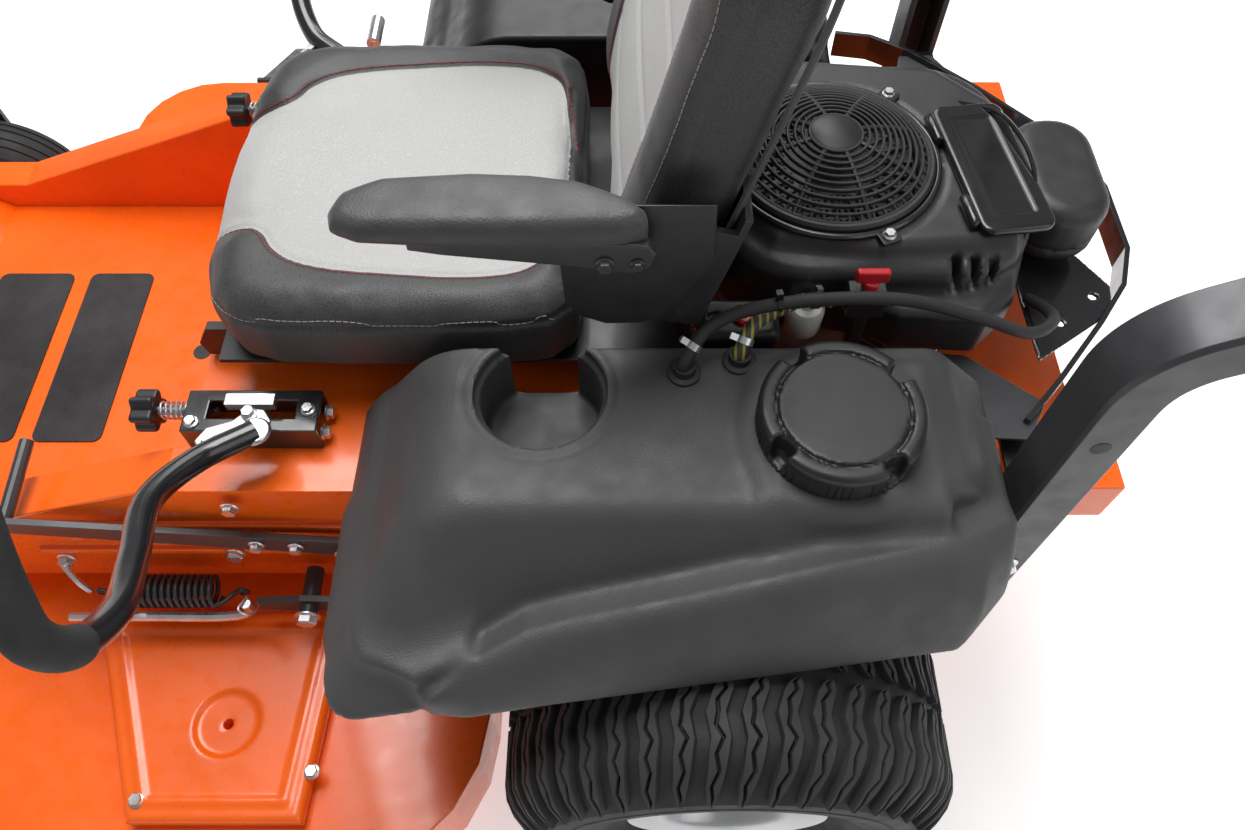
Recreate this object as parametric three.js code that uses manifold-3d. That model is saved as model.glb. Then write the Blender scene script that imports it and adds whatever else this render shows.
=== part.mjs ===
// Zero turn mower: one named mesh for each sub-part, in millimetres, +Z up.
// Drawn with X forward, Y to the mower's left, the rear axle over X = 0 and the ground at Z = 0;
// the exported group is then moved so that its origin is the middle of its footprint.
import * as THREE from 'three';
import { mergeVertices } from 'three/addons/utils/BufferGeometryUtils.js';
import Module from 'manifold-3d';

const wasm = await Module();
wasm.setup();

// ---- driving dimensions ----
const GAP = 0.4;                                   // running gap between neighbours
const REAR_WHEEL = { radius: 254, width: 230, y: 535 };
const FRONT_WHEEL = { radius: 140, width: 100, y: 475, x: 1240, trail: 50 };
const RAIL = { inner: 280, outer: 340, top: 500, bottom: 432, rear: -430, bend: 620, front: 1240 };
const LOWER_RAIL = { top: 345, bottom: 258, rear: 380 };
const PAN = { z: 296, thick: 4, rear: 606, front: 1180 };
const PLATFORM = { rear: 118, front: 605, thick: 4 };
const ENGINE = { x: -107, y: 26, floor: 440, plate: 6, block: 566, shroud: 688 };
const FLIP = { x: -233, y: 50, turn: 0.13, wide: 84, long: 190 };
const TANK = { inner: 243, outer: 434, top: 640, front: 308, rear: -264, floor: 512 };
const CUP = { x: 200, y: 296, radius: 61, floor: 556, slot: 40 };
const CAP = { x: -85, y: 344, radius: 74, height: 40 };
const DECK = { half: 690, rear: 285, front: 1010, top: 208, skirt: 82, wall: 5 };
const BLADE = { radius: 234, sideX: 560, centreX: 742, y: 445, z: 108 };
const SEAT = { rear: 150, front: 590, half: 235, floor: 566, top: 660 };
const BACK = { lean: 0.25, footX: 152, footZ: 644, length: 470, half: 232, thick: 88 };
const LEVER_BRACKET = { rear: 450, front: 598, inner: 232, outer: 285, floor: 504.4, top: 542 };
const ROPS = { x: -298, half: 26, inner: 345, outer: 400, foot: 380, knee: 812, wall: 8 };
const FOLD = { x: -470, z: 905 };                  // bolt that the roll bar folds about
const LIFT_PIVOT = { x: 440, z: 388 };               // cross axis the lift pedal turns about
const LEVER_ROUTE = [[504, 300, 566], [549, 339, 578], [569, 402, 612], [547, 478, 650], [526, 540, 690],
  [521, 588, 742], [524, 600, 790], [524, 586, 832], [520, 566, 880], [514, 543, 930], [508, 522, 975]];

// ---- finishes ----
const finish = (color, roughness, metalness) => ({ color, roughness, metalness });
const ORANGE = finish(0xff6600, 0.35, 0.1);
const BLACK_STEEL = finish(0x17181a, 0.4, 0.3);
const BLACK_PLASTIC = finish(0x1c1d1f, 0.5, 0);
const GREY_PLASTIC = finish(0x4c4d50, 0.6, 0);
const SHROUD = finish(0x3a3b3e, 0.5, 0);
const ZINC = finish(0xb8bbc0, 0.35, 0.9);
const RIM = finish(0xc4c6c9, 0.4, 0.7);
const RUBBER = finish(0x18181a, 0.85, 0);
const VINYL = finish(0x454648, 0.6, 0);
const CASTING = finish(0x85888c, 0.5, 0.6);
const RED = finish(0xd8202a, 0.4, 0);

// ---- shape helpers ----
const AXIS = { x: new THREE.Vector3(1, 0, 0), y: new THREE.Vector3(0, 1, 0), z: new THREE.Vector3(0, 0, 1) };
const point = (x, y, z) => new THREE.Vector3(x, y, z);

function extrude(outline, depth) {
  const shape = new THREE.Shape(outline.map(([a, b]) => new THREE.Vector2(a, b)));
  return new THREE.ExtrudeGeometry(shape, { depth, bevelEnabled: false });
}

// A plan outline (x, y) raised from z0 to z1.
function slabZ(outline, z0, z1) {
  return extrude(outline, z1 - z0).translate(0, 0, z0);
}

// A side outline (x, z) between two values of y.
function slabY(outline, ya, yb) {
  const [y0, y1] = [Math.min(ya, yb), Math.max(ya, yb)];
  return extrude(outline, y1 - y0).rotateX(Math.PI / 2).translate(0, y1, 0);
}

// A front outline (y, z) between two values of x.
function slabX(outline, x0, x1) {
  const turn = new THREE.Matrix4().makeBasis(AXIS.y, AXIS.z, AXIS.x);
  return extrude(outline, x1 - x0).applyMatrix4(turn).translate(x0, 0, 0);
}

function box(xa, xb, ya, yb, za, zb) {
  const solid = new THREE.BoxGeometry(Math.abs(xb - xa), Math.abs(yb - ya), Math.abs(zb - za));
  return solid.translate((xa + xb) / 2, (ya + yb) / 2, (za + zb) / 2);
}

// A round bar between two points.
function bar(from, to, radius, sides = 16) {
  const along = to.clone().sub(from);
  const solid = new THREE.CylinderGeometry(radius, radius, along.length(), sides);
  const turn = new THREE.Quaternion().setFromUnitVectors(AXIS.y, along.clone().normalize());
  const middle = from.clone().add(to).multiplyScalar(0.5);
  return solid.applyQuaternion(turn).translate(middle.x, middle.y, middle.z);
}

// A body of revolution about +Z from (radius, height) pairs.
function turned(profile, sides = 32) {
  const outline = profile.map(([radius, height]) => new THREE.Vector2(radius, height));
  return new THREE.LatheGeometry(outline, sides).rotateX(Math.PI / 2);
}

// The same body with its axis along Y, its first height facing the side given.
function turnedY(profile, side, sides = 32) {
  return turned(profile, sides).rotateX(side > 0 ? -Math.PI / 2 : Math.PI / 2);
}

// A round tube that follows a smooth route.
function tube(route, radius, steps, sides = 10) {
  const ring = [];
  for (let i = 0; i < sides; i += 1) {
    const angle = (2 * Math.PI * i) / sides;
    ring.push([radius * Math.cos(angle), radius * Math.sin(angle)]);
  }
  const shape = new THREE.Shape(ring.map(([a, b]) => new THREE.Vector2(a, b)));
  const path = new THREE.CatmullRomCurve3(route, false, 'centripetal');
  return new THREE.ExtrudeGeometry(shape, { steps, bevelEnabled: false, extrudePath: path });
}

function solidOf(geometry) {
  const bare = geometry.index ? geometry.toNonIndexed() : geometry.clone();
  bare.deleteAttribute('normal');
  bare.deleteAttribute('uv');
  const merged = mergeVertices(bare, 1e-4);
  return new wasm.Manifold(new wasm.Mesh({
    numProp: 3,
    vertProperties: Float32Array.from(merged.attributes.position.array),
    triVerts: Uint32Array.from(merged.index.array),
  }));
}

function geometryOf(solid) {
  const mesh = solid.getMesh();
  const geometry = new THREE.BufferGeometry();
  geometry.setAttribute('position', new THREE.BufferAttribute(Float32Array.from(mesh.vertProperties), 3));
  geometry.setIndex(Array.from(mesh.triVerts));
  return geometry;
}

function join(...pieces) {
  const solids = pieces.map(solidOf);
  return geometryOf(solids.reduce((sum, next) => sum.add(next)));
}

function cut(piece, ...tools) {
  const start = solidOf(piece);
  return geometryOf(tools.map(solidOf).reduce((rest, tool) => rest.subtract(tool), start));
}

// A plan rectangle with round corners, as (x, y) pairs.
function roundedPlan(x0, x1, y0, y1, radius, steps = 4) {
  const centres = [[x1 - radius, y1 - radius, 0], [x0 + radius, y1 - radius, 1],
    [x0 + radius, y0 + radius, 2], [x1 - radius, y0 + radius, 3]];
  const outline = [];
  for (const [cx, cy, quarter] of centres) {
    for (let i = 0; i <= steps; i += 1) {
      const angle = (Math.PI / 2) * (quarter + i / steps);
      outline.push([cx + radius * Math.cos(angle), cy + radius * Math.sin(angle)]);
    }
  }
  return outline;
}

const mower = new THREE.Group();

function add(name, geometry, look) {
  const mesh = new THREE.Mesh(geometry, new THREE.MeshStandardMaterial(look));
  mesh.name = name;
  mower.add(mesh);
}

const SIDES = [['left', 1], ['right', -1]];

// ---- welded frame ----
function sideRail(side) {
  const slope = (RAIL.top - LOWER_RAIL.top) / 430;
  const tip = RAIL.bend + 430;
  const outline = [
    [RAIL.rear, RAIL.bottom], [LOWER_RAIL.rear, RAIL.bottom], [LOWER_RAIL.rear, LOWER_RAIL.bottom],
    [RAIL.front, LOWER_RAIL.bottom], [RAIL.front, LOWER_RAIL.top], [tip, LOWER_RAIL.top],
    [RAIL.bend, LOWER_RAIL.top + slope * 430], [RAIL.rear, RAIL.top],
  ];
  const web = slabY(outline, side * RAIL.inner, side * (RAIL.outer - 8));
  const ledges = [[400, 418], [340, 352]].map(([low, high]) =>
    box(LOWER_RAIL.rear, tip - 220, side * (RAIL.outer - 20), side * RAIL.outer, low, high));
  const axleArm = box(-95, 115, side * RAIL.inner, side * (RAIL.inner + 30), 330, RAIL.bottom + 10);
  return join(web, ...ledges, axleArm);
}

function frontCrossBeam() {
  const { x, trail, y } = FRONT_WHEEL;
  const pivot = x + trail;
  const pieces = [box(RAIL.front + GAP, pivot + 36, -y, y, 304, 364)];
  const holes = [];
  for (const side of [1, -1]) {
    pieces.push(bar(point(pivot, side * y, 298), point(pivot, side * y, 376), 38, 24));
    holes.push(bar(point(pivot, side * y, 290), point(pivot, side * y, 385), 16, 24));
  }
  return cut(join(...pieces), ...holes);
}

function enginePlate() {
  const edge = RAIL.inner - GAP;
  const plate = box(-425, 105, -edge, edge, ENGINE.floor, ENGINE.floor + ENGINE.plate);
  const shaftHole = bar(point(ENGINE.x, ENGINE.y, 400), point(ENGINE.x, ENGINE.y, 480), 32, 20);
  return cut(plate, shaftHole);
}

function footPan() {
  const edge = RAIL.inner - GAP;
  const { z, thick, rear, front } = PAN;
  const outline = [[rear, z], [front - 90, z], [front, z + 62], [front, z + 68], [front - 92, z + thick],
    [rear, z + thick]];
  return slabY(outline, -edge, edge);
}

function seatPlatform() {
  const { rear, front, thick } = PLATFORM;
  const edge = RAIL.inner - GAP;
  const lid = box(rear, front, -338, 338, RAIL.top + GAP, RAIL.top + GAP + thick);
  const wall = box(front - thick, front, -edge, edge, PAN.z + 6, RAIL.top + 2);
  const back = box(rear, rear + thick, -edge, edge, 380, RAIL.top + 2);
  const sides = [1, -1].map((side) =>
    box(rear, front, side * edge, side * (edge - thick), 380, RAIL.top + 2));
  return join(lid, wall, back, ...sides);
}

// ---- seat ----
function backPoint(along, out) {
  const { lean, footX, footZ } = BACK;
  return [footX - along * Math.sin(lean) + out * Math.cos(lean),
    footZ + along * Math.cos(lean) + out * Math.sin(lean)];
}

function seatFrame() {
  const behind = -BACK.thick - GAP;
  const pan = box(40, SEAT.front - 25, -205, 205, 556, 562);
  const lugs = [1, -1].map((side) => slabY([[560, 534], [574, 512], [602, 512], [606, 534], [590, 560],
    [560, 560]], side * 150, side * 162));
  const spine = slabY([[40, 556], [48, 556], backPoint(0, behind), backPoint(220, behind),
    backPoint(220, behind - 7), backPoint(0, behind - 7)], -200, 200);
  const yoke = slabY([backPoint(60, behind), backPoint(210, behind), backPoint(210, behind - 7),
    backPoint(60, behind - 7)], -247, 247);
  const cheeks = [1, -1].map((side) => slabY([backPoint(60, behind - 7), backPoint(60, -10),
    backPoint(120, 24), backPoint(190, 14), backPoint(190, behind - 7)], side * 239, side * 247));
  return join(pan, ...lugs, spine, yoke, ...cheeks);
}

function seatCushion() {
  const { rear, front, half, floor, top } = SEAT;
  const plan = roundedPlan(rear, front, -half, half, 60);
  const narrow = roundedPlan(rear, front - 8, -half + 16, half - 16, 60);
  return join(slabZ(plan, floor + 25, top - 14), slabZ(narrow, floor, top + 4));
}

function seatBackrest() {
  const { length, half, thick } = BACK;
  const outline = [backPoint(20, -thick), backPoint(20, 0), backPoint(length - 20, 0),
    backPoint(length, -20), backPoint(length, -thick + 20), backPoint(length - 15, -thick)];
  return slabY(outline, -half, half);
}

function armrest(side) {
  const plan = [[62, 250], [132, 250], [170, 216], [330, 208], [364, 226], [374, 252], [364, 282], [330, 292],
    [62, 298]].map(([x, y]) => [x, side * y]);
  const pad = slabZ(side > 0 ? plan : plan.reverse(), 812, 850);
  const hub = bar(point(104, side * 250, 818), point(104, side * 298, 818), 26, 16);
  return join(pad, hub);
}

function buckle() {
  const stalk = box(10, 30, 196, 212, ENGINE.floor + ENGINE.plate + GAP, 620);
  const housing = box(-44, 42, 182, 236, 612, 646);
  return cut(join(stalk, housing), box(-26, 6, 194, 224, 630, 660));
}

// ---- engine ----
function engineBlock() {
  const { x, y, floor, plate, block } = ENGINE;
  const base = floor + plate + GAP;
  const crankcase = bar(point(x, y, base), point(x, y, block), 120, 28);
  const banks = [0.65, -0.65].map((turn) => {
    const bank = box(-165, 0, -62, 62, base + 20, block - 6);
    return bank.rotateZ(turn).translate(x, y, 0);
  });
  const bore = bar(point(x, y, base - 20), point(x, y, block + 20), 24, 20);
  return cut(join(crankcase, ...banks), bore);
}

function blowerHousing() {
  const { x, y, block, shroud } = ENGINE;
  const body = slabZ(roundedPlan(-325, 24, -160, 174, 100, 5), block + GAP, shroud - 22);
  const crown = slabZ(roundedPlan(-318, 16, -146, 162, 92, 5), shroud - 24, shroud);
  const lobe = slabZ([[-20, 90], [-110, 168], [-170, 200], [-262, 206], [-300, 170], [-322, 90]].reverse(),
    block + GAP, shroud - 50);
  const well = bar(point(x, y, shroud - 50), point(x, y, shroud + 20), 98, 32);
  const bore = bar(point(x, y, block - 20), point(x, y, shroud), 24, 20);
  return cut(join(body, crown, lobe), well, bore);
}

function fanGrille() {
  const base = ENGINE.shroud + GAP;
  const profile = [[112, base], [112, base + 10], [92, base + 24], [50, base + 36], [0, base + 40],
    [0, base + 36], [49, base + 32], [90, base + 20], [101, base], [112, base]];
  return turned(profile, 28).translate(ENGINE.x, ENGINE.y, 0);
}

function flywheel() {
  const top = ENGINE.shroud - 14;
  const profile = [[0, 318], [66, 318], [60, 330], [66, 342], [18, 342], [18, top - 26], [92, top - 26],
    [92, top], [0, top]];
  return turned(profile, 28).translate(ENGINE.x, ENGINE.y, 0);
}

function airFilterCover() {
  return slabZ(roundedPlan(-422, -325 - GAP, -72, 92, 45), 584, 668);
}

function flipCover() {
  const { x, y, turn, wide, long } = FLIP;
  const lid = slabZ(roundedPlan(-wide, 2, -long / 2, long / 2, 12, 2), 0, 11);
  const barrel = bar(point(0, -long / 2 + 4, 7), point(0, long / 2 - 4, 7), 6, 10);
  return join(lid, barrel).rotateZ(turn).translate(x, y, ENGINE.shroud + GAP);
}

function muffler() {
  return join(bar(point(-352, -172, 500), point(-352, -4, 500), 48, 16),
    bar(point(-352, -190, 500), point(-352, -165, 500), 18, 10));
}

// ---- drive ----
function transaxle() {
  const pieces = [bar(point(10, -200, 254), point(10, 200, 254), 36, 16)];
  for (const side of [1, -1]) {
    pieces.push(slabY(roundedPlan(-85, 105, 186, 322, 34, 3), side * 130, side * 309));
    pieces.push(bar(point(0, side * 300, 254), point(0, side * 345, 254), 40, 20));
    pieces.push(bar(point(62, side * 220, 300), point(62, side * 220, 362), 24, 12));
  }
  return join(...pieces);
}

function rearTyre(side) {
  const { radius, width, y } = REAR_WHEEL;
  const half = width / 2;
  const profile = [[104, -80], [118, -90], [150, -half + 4], [205, -half], [240, -half + 12],
    [radius, -half + 36], [radius, half - 36], [240, half - 12], [205, half],
    [150, half - 4], [118, 90], [104, 80], [104, -80]];
  return turnedY(profile, 1, 40).translate(0, side * y, radius);
}

function rearRim(side) {
  const { radius, y } = REAR_WHEEL;
  const profile = [[0, -188], [17, -188], [17, -30], [45, -24], [45, 12], [62, 12], [96, 23], [96, -92],
    [114, -94], [101.4, -84], [101.4, 84], [114, 94], [96, 92],
    [96, 34], [62, 22], [40, 22], [36, 40], [0, 40]];
  return turnedY(profile, side, 28).translate(0, side * y, radius);
}

function frontWheel(side) {
  const { radius, width, y, x } = FRONT_WHEEL;
  const half = width / 2;
  const profile = [[10, -48], [30, -48], [30, -34], [68, -34], [100, -half], [126, -half + 6],
    [radius, -26], [radius, 26], [126, half - 6], [100, half], [68, 34], [30, 34], [30, 48],
    [10, 48], [10, -48]];
  return turnedY(profile, 1, 28).translate(x, side * y, radius);
}

function casterFork(side) {
  const { radius, x, y, trail } = FRONT_WHEEL;
  const pivot = x + trail;
  const crown = slabZ(roundedPlan(x - 32, pivot + 38, side * y - 66, side * y + 66, 30, 3), 286, 297);
  const legs = [58, -66].map((offset) => slabY([[x - 26, 120], [x + 26, 120], [x + 26, 160],
    [pivot + 14, 288], [x - 20, 288], [x - 26, 160]], side * y + offset, side * y + offset + 8));
  const axle = bar(point(x, side * y - 74, radius), point(x, side * y + 74, radius), 8.5, 16);
  const stem = bar(point(pivot, side * y, 290), point(pivot, side * y, 386), 15, 20);
  const nut = bar(point(pivot, side * y, 377), point(pivot, side * y, 392), 24, 20);
  return join(crown, ...legs, axle, stem, nut);
}

// ---- fuel ----
function fuelTank() {
  const { inner, outer, top, front, rear, floor } = TANK;
  const body = slabY([[rear, floor], [rear, top - 62], [rear + 62, top], [front, top], [front + 104, floor]],
    inner, outer);
  const shoulder = slabX([[outer - 8, floor], [outer + 66, floor], [outer + 66, 548], [outer - 8, 596]],
    rear + 12, front + 20);
  const skirt = slabX([[420, floor], [556, floor], [556, 536], [500, 562], [420, 575]], -200, front + 40);
  const drop = slabY([[272, 420], [262, floor + 20], [420, floor + 20], [440, 430]], 346, 540);
  const pad = slabZ(roundedPlan(-190, 5, 262, outer + 18, 40), top - 68, top + 4);
  const well = bar(point(CUP.x, CUP.y, CUP.floor), point(CUP.x, CUP.y, top + 20), CUP.radius, 28);
  const slot = box(CUP.x - CUP.slot / 2, CUP.x + CUP.slot / 2, inner - 10, CUP.y, CUP.floor, top + 20);
  const neck = bar(point(CAP.x, CAP.y, top - 30), point(CAP.x, CAP.y, top + 20), 50, 24);
  return cut(join(body, shoulder, skirt, drop, pad), well, slot, neck);
}

function fuelCap() {
  const { x, y, radius, height } = CAP;
  const base = TANK.top + 4 + GAP;
  const profile = [[0, base - 26], [44, base - 26], [44, base], [radius, base], [radius, base + height - 8],
    [radius - 8, base + height], [0, base + height]];
  return turned(profile, 32).translate(x, y, 0);
}

function fuelValve() {
  return join(box(-150, -108, 183, 211, 640, 676), bar(point(-98, 197, 656), point(-158, 197, 656), 7, 10),
    box(-136, -122, 190, 204, ENGINE.floor + ENGINE.plate + GAP, 645));
}

function valveKnob() {
  const stem = bar(point(-129, 197, 676 + GAP), point(-129, 197, 690), 9, 12);
  return join(stem, box(-146, -112, 192, 202, 686, 704));
}

function fuelHose() {
  const top = TANK.top + GAP;
  return tube([point(2, 262, top), point(2, 262, top + 18), point(-12, 240, top + 34),
    point(-50, 214, top + 32), point(-74, 200, top + 20), point(-96, 197, 656)], 8, 20, 8);
}

function ventHose() {
  const top = TANK.top + GAP;
  return tube([point(58, 276, top), point(58, 276, top + 20), point(34, 252, top + 44),
    point(-10, 240, top + 58), point(-80, 232, top + 62), point(-160, 224, top + 50),
    point(-240, 222, top + 20), point(-300, 222, top - 6), point(-336, 196, top - 20),
    point(-345, 160, top - 44), point(-338, 132, top - 62)], 7, 38, 8);
}

function rightFender() {
  const { inner, top, front, floor } = TANK;
  const body = slabY([[-165, floor], [-165, top - 40], [-120, top], [front, top], [front + 104, floor]],
    -inner, -TANK.outer);
  const skirt = slabX([[-420, floor], [-556, floor], [-556, 536], [-500, 562], [-420, 600]],
    -150, front + 30);
  const drop = slabY([[272, 420], [262, floor + 20], [420, floor + 20], [440, 430]], -346, -540);
  return join(body, skirt, drop);
}

// ---- steering levers ----
function leverBracket(side) {
  const { rear, front, inner, outer, floor, top } = LEVER_BRACKET;
  const shell = box(rear, front, side * inner, side * outer, floor, top);
  const hollow = box(rear - 10, front - 5, side * (inner + 5), side * (outer - 5), floor - 5, top - 5);
  const slot = box(rear + 26, front - 26, side * (inner + 14), side * (outer - 17), top - 10, top + 5);
  const y = side * (inner + 14);
  const bolt = bar(point(front - 10, y, 522), point(front + 10, y, 522), 7, 12);
  return cut(shell, hollow, slot, bolt);
}

function leverPivot(side) {
  const y = LEVER_BRACKET.inner + 23;
  const stalk = box(512, 530, side * (y - 7), side * (y + 7), 508, 556);
  const axle = bar(point(521, side * (y - 17), 516), point(521, side * (y + 17), 516), 6, 12);
  const tab = box(494, 548, side * (y - 7), side * (y + 7), 548, 560);
  return join(stalk, axle, tab);
}

function lever(side) {
  const route = LEVER_ROUTE.map(([x, y, z]) => point(x, side * y, z));
  const adapter = box(482, 556, side * 268, side * 326, 560.5, 566.5);
  return join(adapter, tube(route, 17, 26, 10));
}

function trackingKnob(side) {
  const y = side * (LEVER_BRACKET.inner + 14);
  return join(bar(point(LEVER_BRACKET.front - 30, y, 522), point(640, y, 522), 5.5, 12),
    bar(point(634, y, 522), point(662, y, 522), 24, 20));
}

// ---- deck lift ----
function liftPedal() {
  const arm = slabY([[LIFT_PIVOT.x - 16, 376], [LIFT_PIVOT.x + 16, 374], [822, 436], [822, 462],
    [LIFT_PIVOT.x, 408], [LIFT_PIVOT.x - 16, 400]], 348, 356);
  const peg = bar(point(814, 352, 450), point(814, 250, 462), 8, 12);
  const hub = bar(point(LIFT_PIVOT.x, 342, LIFT_PIVOT.z), point(LIFT_PIVOT.x, 362, LIFT_PIVOT.z), 16, 16);
  return join(arm, peg, hub);
}

function liftShaft() {
  const { x, z } = { x: 505, z: 300 };
  const crank = slabY([[x - 70, 286], [x + 8, 284], [x + 64, 290],
    [x + 64, 310], [x + 8, 318], [x - 70, 314]],
    384, 392);
  return join(bar(point(x, 342, z), point(x, 404, z), 11, 16), crank);
}

function liftSpring() {
  const body = bar(point(622, 372, 300), point(738, 372, 300), 21, 20);
  const hooks = bar(point(586, 372, 300), point(770, 372, 300), 3, 8);
  return join(body, hooks);
}

function linkRod() {
  return tube([point(800, 402, 292), point(700, 402, 292), point(610, 402, 292), point(582, 400, 296),
    point(572, 400, 312), point(572, 400, 330)], 6, 16, 8);
}

function heightPin() {
  return join(bar(point(470, -347.5, 470), point(470, -347.5, 560), 7, 12),
    bar(point(470, -342, 556), point(470, -395, 556), 10, 12));
}

// ---- cutting deck ----
function deckPlan(inset) {
  const { half, rear, front } = DECK;
  const [h, r, f] = [half - inset, rear + inset, front - inset];
  const corner = (cx, cy, radius, from) => [0, 1, 2, 3, 4, 5].map((i) => {
    const angle = from + (Math.PI / 10) * i;
    return [cx + radius * Math.cos(angle), cy + radius * Math.sin(angle)];
  });
  const big = 190 - inset;
  const small = 130 - inset;
  return [...corner(f - small, h - small, small, 0), ...corner(r + big, h - big, big, Math.PI / 2),
    ...corner(r + big, -h + big, big, Math.PI), ...corner(f - small, -h + small, small, Math.PI * 1.5)];
}

function deckShell() {
  const { top, skirt, wall, half } = DECK;
  const shell = slabZ(deckPlan(0), skirt, top);
  const hollow = slabZ(deckPlan(wall), skirt - 20, top - wall);
  const discharge = box(430, 820, -half - 20, -half + 60, skirt - 20, top - wall - 14);
  const bores = [[BLADE.sideX, BLADE.y], [BLADE.centreX, 0], [BLADE.sideX, -BLADE.y]]
    .map(([x, y]) => bar(point(x, y, top - 40), point(x, y, top + 20), 22, 20));
  return cut(shell, hollow, discharge, ...bores);
}

function cutter(x, y) {
  const { radius, z } = BLADE;
  const blade = box(x - radius, x + radius, y - 32, y + 32, z, z + 6);
  const shaft = bar(point(x, y, z - 12), point(x, y, DECK.top + 18), 16, 16);
  const pulley = bar(point(x, y, DECK.top + 2), point(x, y, DECK.top + 16), 62, 24);
  return join(blade, shaft, pulley);
}

function beltCover(side) {
  const plan = (inset) => {
    const corners = [[474 + inset, 372 + inset], [802 - 2 * inset, 372 + inset], [699 - inset, 633 - inset],
      [491 + inset, 633 - inset]].map(([x, y]) => [x, side * y]);
    return side > 0 ? corners : corners.reverse();
  };
  const shell = slabZ(plan(0), DECK.top + GAP, DECK.top + 28);
  const hollow = slabZ(plan(4), DECK.top - 5, DECK.top + 24);
  return cut(shell, hollow);
}

function dischargeChute() {
  const { half, top } = DECK;
  const hinge = bar(point(432, -half - 10, top - 6), point(818, -half - 10, top - 6), 7, 12);
  const flap = slabX([[-half - 10, top - 4], [-half - 12, top - 12], [-half - 230, 96], [-half - 236, 104]],
    436, 814);
  return join(hinge, flap);
}

// ---- rollover bar and rear guard ----
// Side view of the post's centre line: straight up, a smooth knee, then up and back to the fold bolt.
function ropsLine() {
  const knee = new THREE.QuadraticBezierCurve(new THREE.Vector2(ROPS.x, ROPS.knee - 52),
    new THREE.Vector2(ROPS.x, ROPS.knee), new THREE.Vector2(ROPS.x - 44, ROPS.knee + 24));
  return [new THREE.Vector2(ROPS.x, ROPS.foot), ...knee.getPoints(6),
    new THREE.Vector2(FOLD.x - 26, FOLD.z + 14)];
}

// A band of the given half width along a line in the side view.
function band(line, half) {
  const offset = (sign) => line.map((spot, i) => {
    const before = line[Math.max(i - 1, 0)];
    const after = line[Math.min(i + 1, line.length - 1)];
    const along = after.clone().sub(before).normalize();
    return [spot.x + sign * half * along.y, spot.y - sign * half * along.x];
  });
  return [...offset(1), ...offset(-1).reverse()];
}

function ropsPost(side) {
  const { x, half, inner, outer, foot, wall, knee } = ROPS;
  const line = ropsLine();
  const body = slabY(band(line, half), side * inner, side * outer);
  const longer = [new THREE.Vector2(x, foot - 20), ...line.slice(1, -1),
    new THREE.Vector2(FOLD.x - 60, FOLD.z + 32)];
  const inside = slabY(band(longer, half - wall), side * (inner - 10), side * (outer - wall));
  const swing = box(FOLD.x - 60, FOLD.x + 30, side * (inner - 10), side * (outer - wall), knee, FOLD.z + 80);
  const rail = box(x - half - 5, x + half + 5, side * 330, side * 350, RAIL.bottom - 70, RAIL.top + GAP);
  const bolt = bar(point(FOLD.x, side * (outer - 20), FOLD.z),
    point(FOLD.x, side * (outer + 10), FOLD.z), 9, 16);
  const plan = [[346, 690], [346, 625], [300, 576], [216, 576], [216, 604]];
  const brace = slabX(plan.map(([y, z]) => [side * y, z]),
    x + half - 6, x + half);
  return join(cut(body, inside, swing, rail, bolt), brace);
}

function ropsHoop() {
  const [low, high] = [ROPS.inner + 4, ROPS.outer - ROPS.wall - 2];
  const [section, top] = [20, 1700];
  const legs = [1, -1].map((side) =>
    box(FOLD.x - section, FOLD.x + section, side * low, side * high, FOLD.z - 22, top));
  const bridge = box(FOLD.x - section, FOLD.x + section, -high, high, top - 42, top);
  return join(...legs, bridge);
}

function rearGuard() {
  const line = [[-304, 286], [-350, 236], [-415, 158], [-455, 104], [-474, 50], [-474, -50], [-455, -104],
    [-415, -158], [-350, -232], [-275, -305], [-225, -336], [-178, -344]];
  const outer = line.map(([x, y], i) => {
    const [px, py] = line[Math.max(i - 1, 0)];
    const [nx, ny] = line[Math.min(i + 1, line.length - 1)];
    const length = Math.hypot(nx - px, ny - py);
    return [x + (6 * (ny - py)) / length, y - (6 * (nx - px)) / length];
  });
  const strip = slabZ([...line, ...outer.reverse()], 535, 572);
  const feet = [1, -1].map((side) => box(-322, -286, side * 270, side * (ROPS.inner - GAP), 535, 541));
  return join(strip, ...feet);
}

// ---- assembly ----
for (const [name, side] of SIDES) {
  add(`${name}_rail`, sideRail(side), ORANGE);
  add(`${name}_rear_tyre`, rearTyre(side), RUBBER);
  add(`${name}_rear_rim`, rearRim(side), RIM);
  add(`${name}_front_wheel`, frontWheel(side), RUBBER);
  add(`${name}_caster_fork`, casterFork(side), BLACK_STEEL);
  add(`${name}_armrest`, armrest(side), VINYL);
  add(`${name}_lever_bracket`, leverBracket(side), BLACK_STEEL);
  add(`${name}_lever_pivot`, leverPivot(side), ZINC);
  add(`${name}_lever`, lever(side), BLACK_STEEL);
  add(`${name}_tracking_knob`, trackingKnob(side), BLACK_PLASTIC);
  add(`${name}_belt_cover`, beltCover(side), ORANGE);
  add(`${name}_rops_post`, ropsPost(side), BLACK_STEEL);
}
add('front_cross_beam', frontCrossBeam(), ORANGE);
add('engine_plate', enginePlate(), ORANGE);
add('foot_pan', footPan(), ORANGE);
add('seat_platform', seatPlatform(), ORANGE);
add('seat_frame', seatFrame(), BLACK_STEEL);
add('seat_cushion', seatCushion(), VINYL);
add('seat_backrest', seatBackrest(), VINYL);
add('belt_buckle', buckle(), BLACK_PLASTIC);
add('buckle_button', box(-24, 4, 196, 222, 636.5, 650), RED);
add('engine_block', engineBlock(), CASTING);
add('blower_housing', blowerHousing(), SHROUD);
add('fan_grille', fanGrille(), BLACK_PLASTIC);
add('flywheel', flywheel(), BLACK_STEEL);
add('air_filter_cover', airFilterCover(), SHROUD);
add('engine_flip_cover', flipCover(), BLACK_PLASTIC);
add('muffler', muffler(), BLACK_STEEL);
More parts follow.
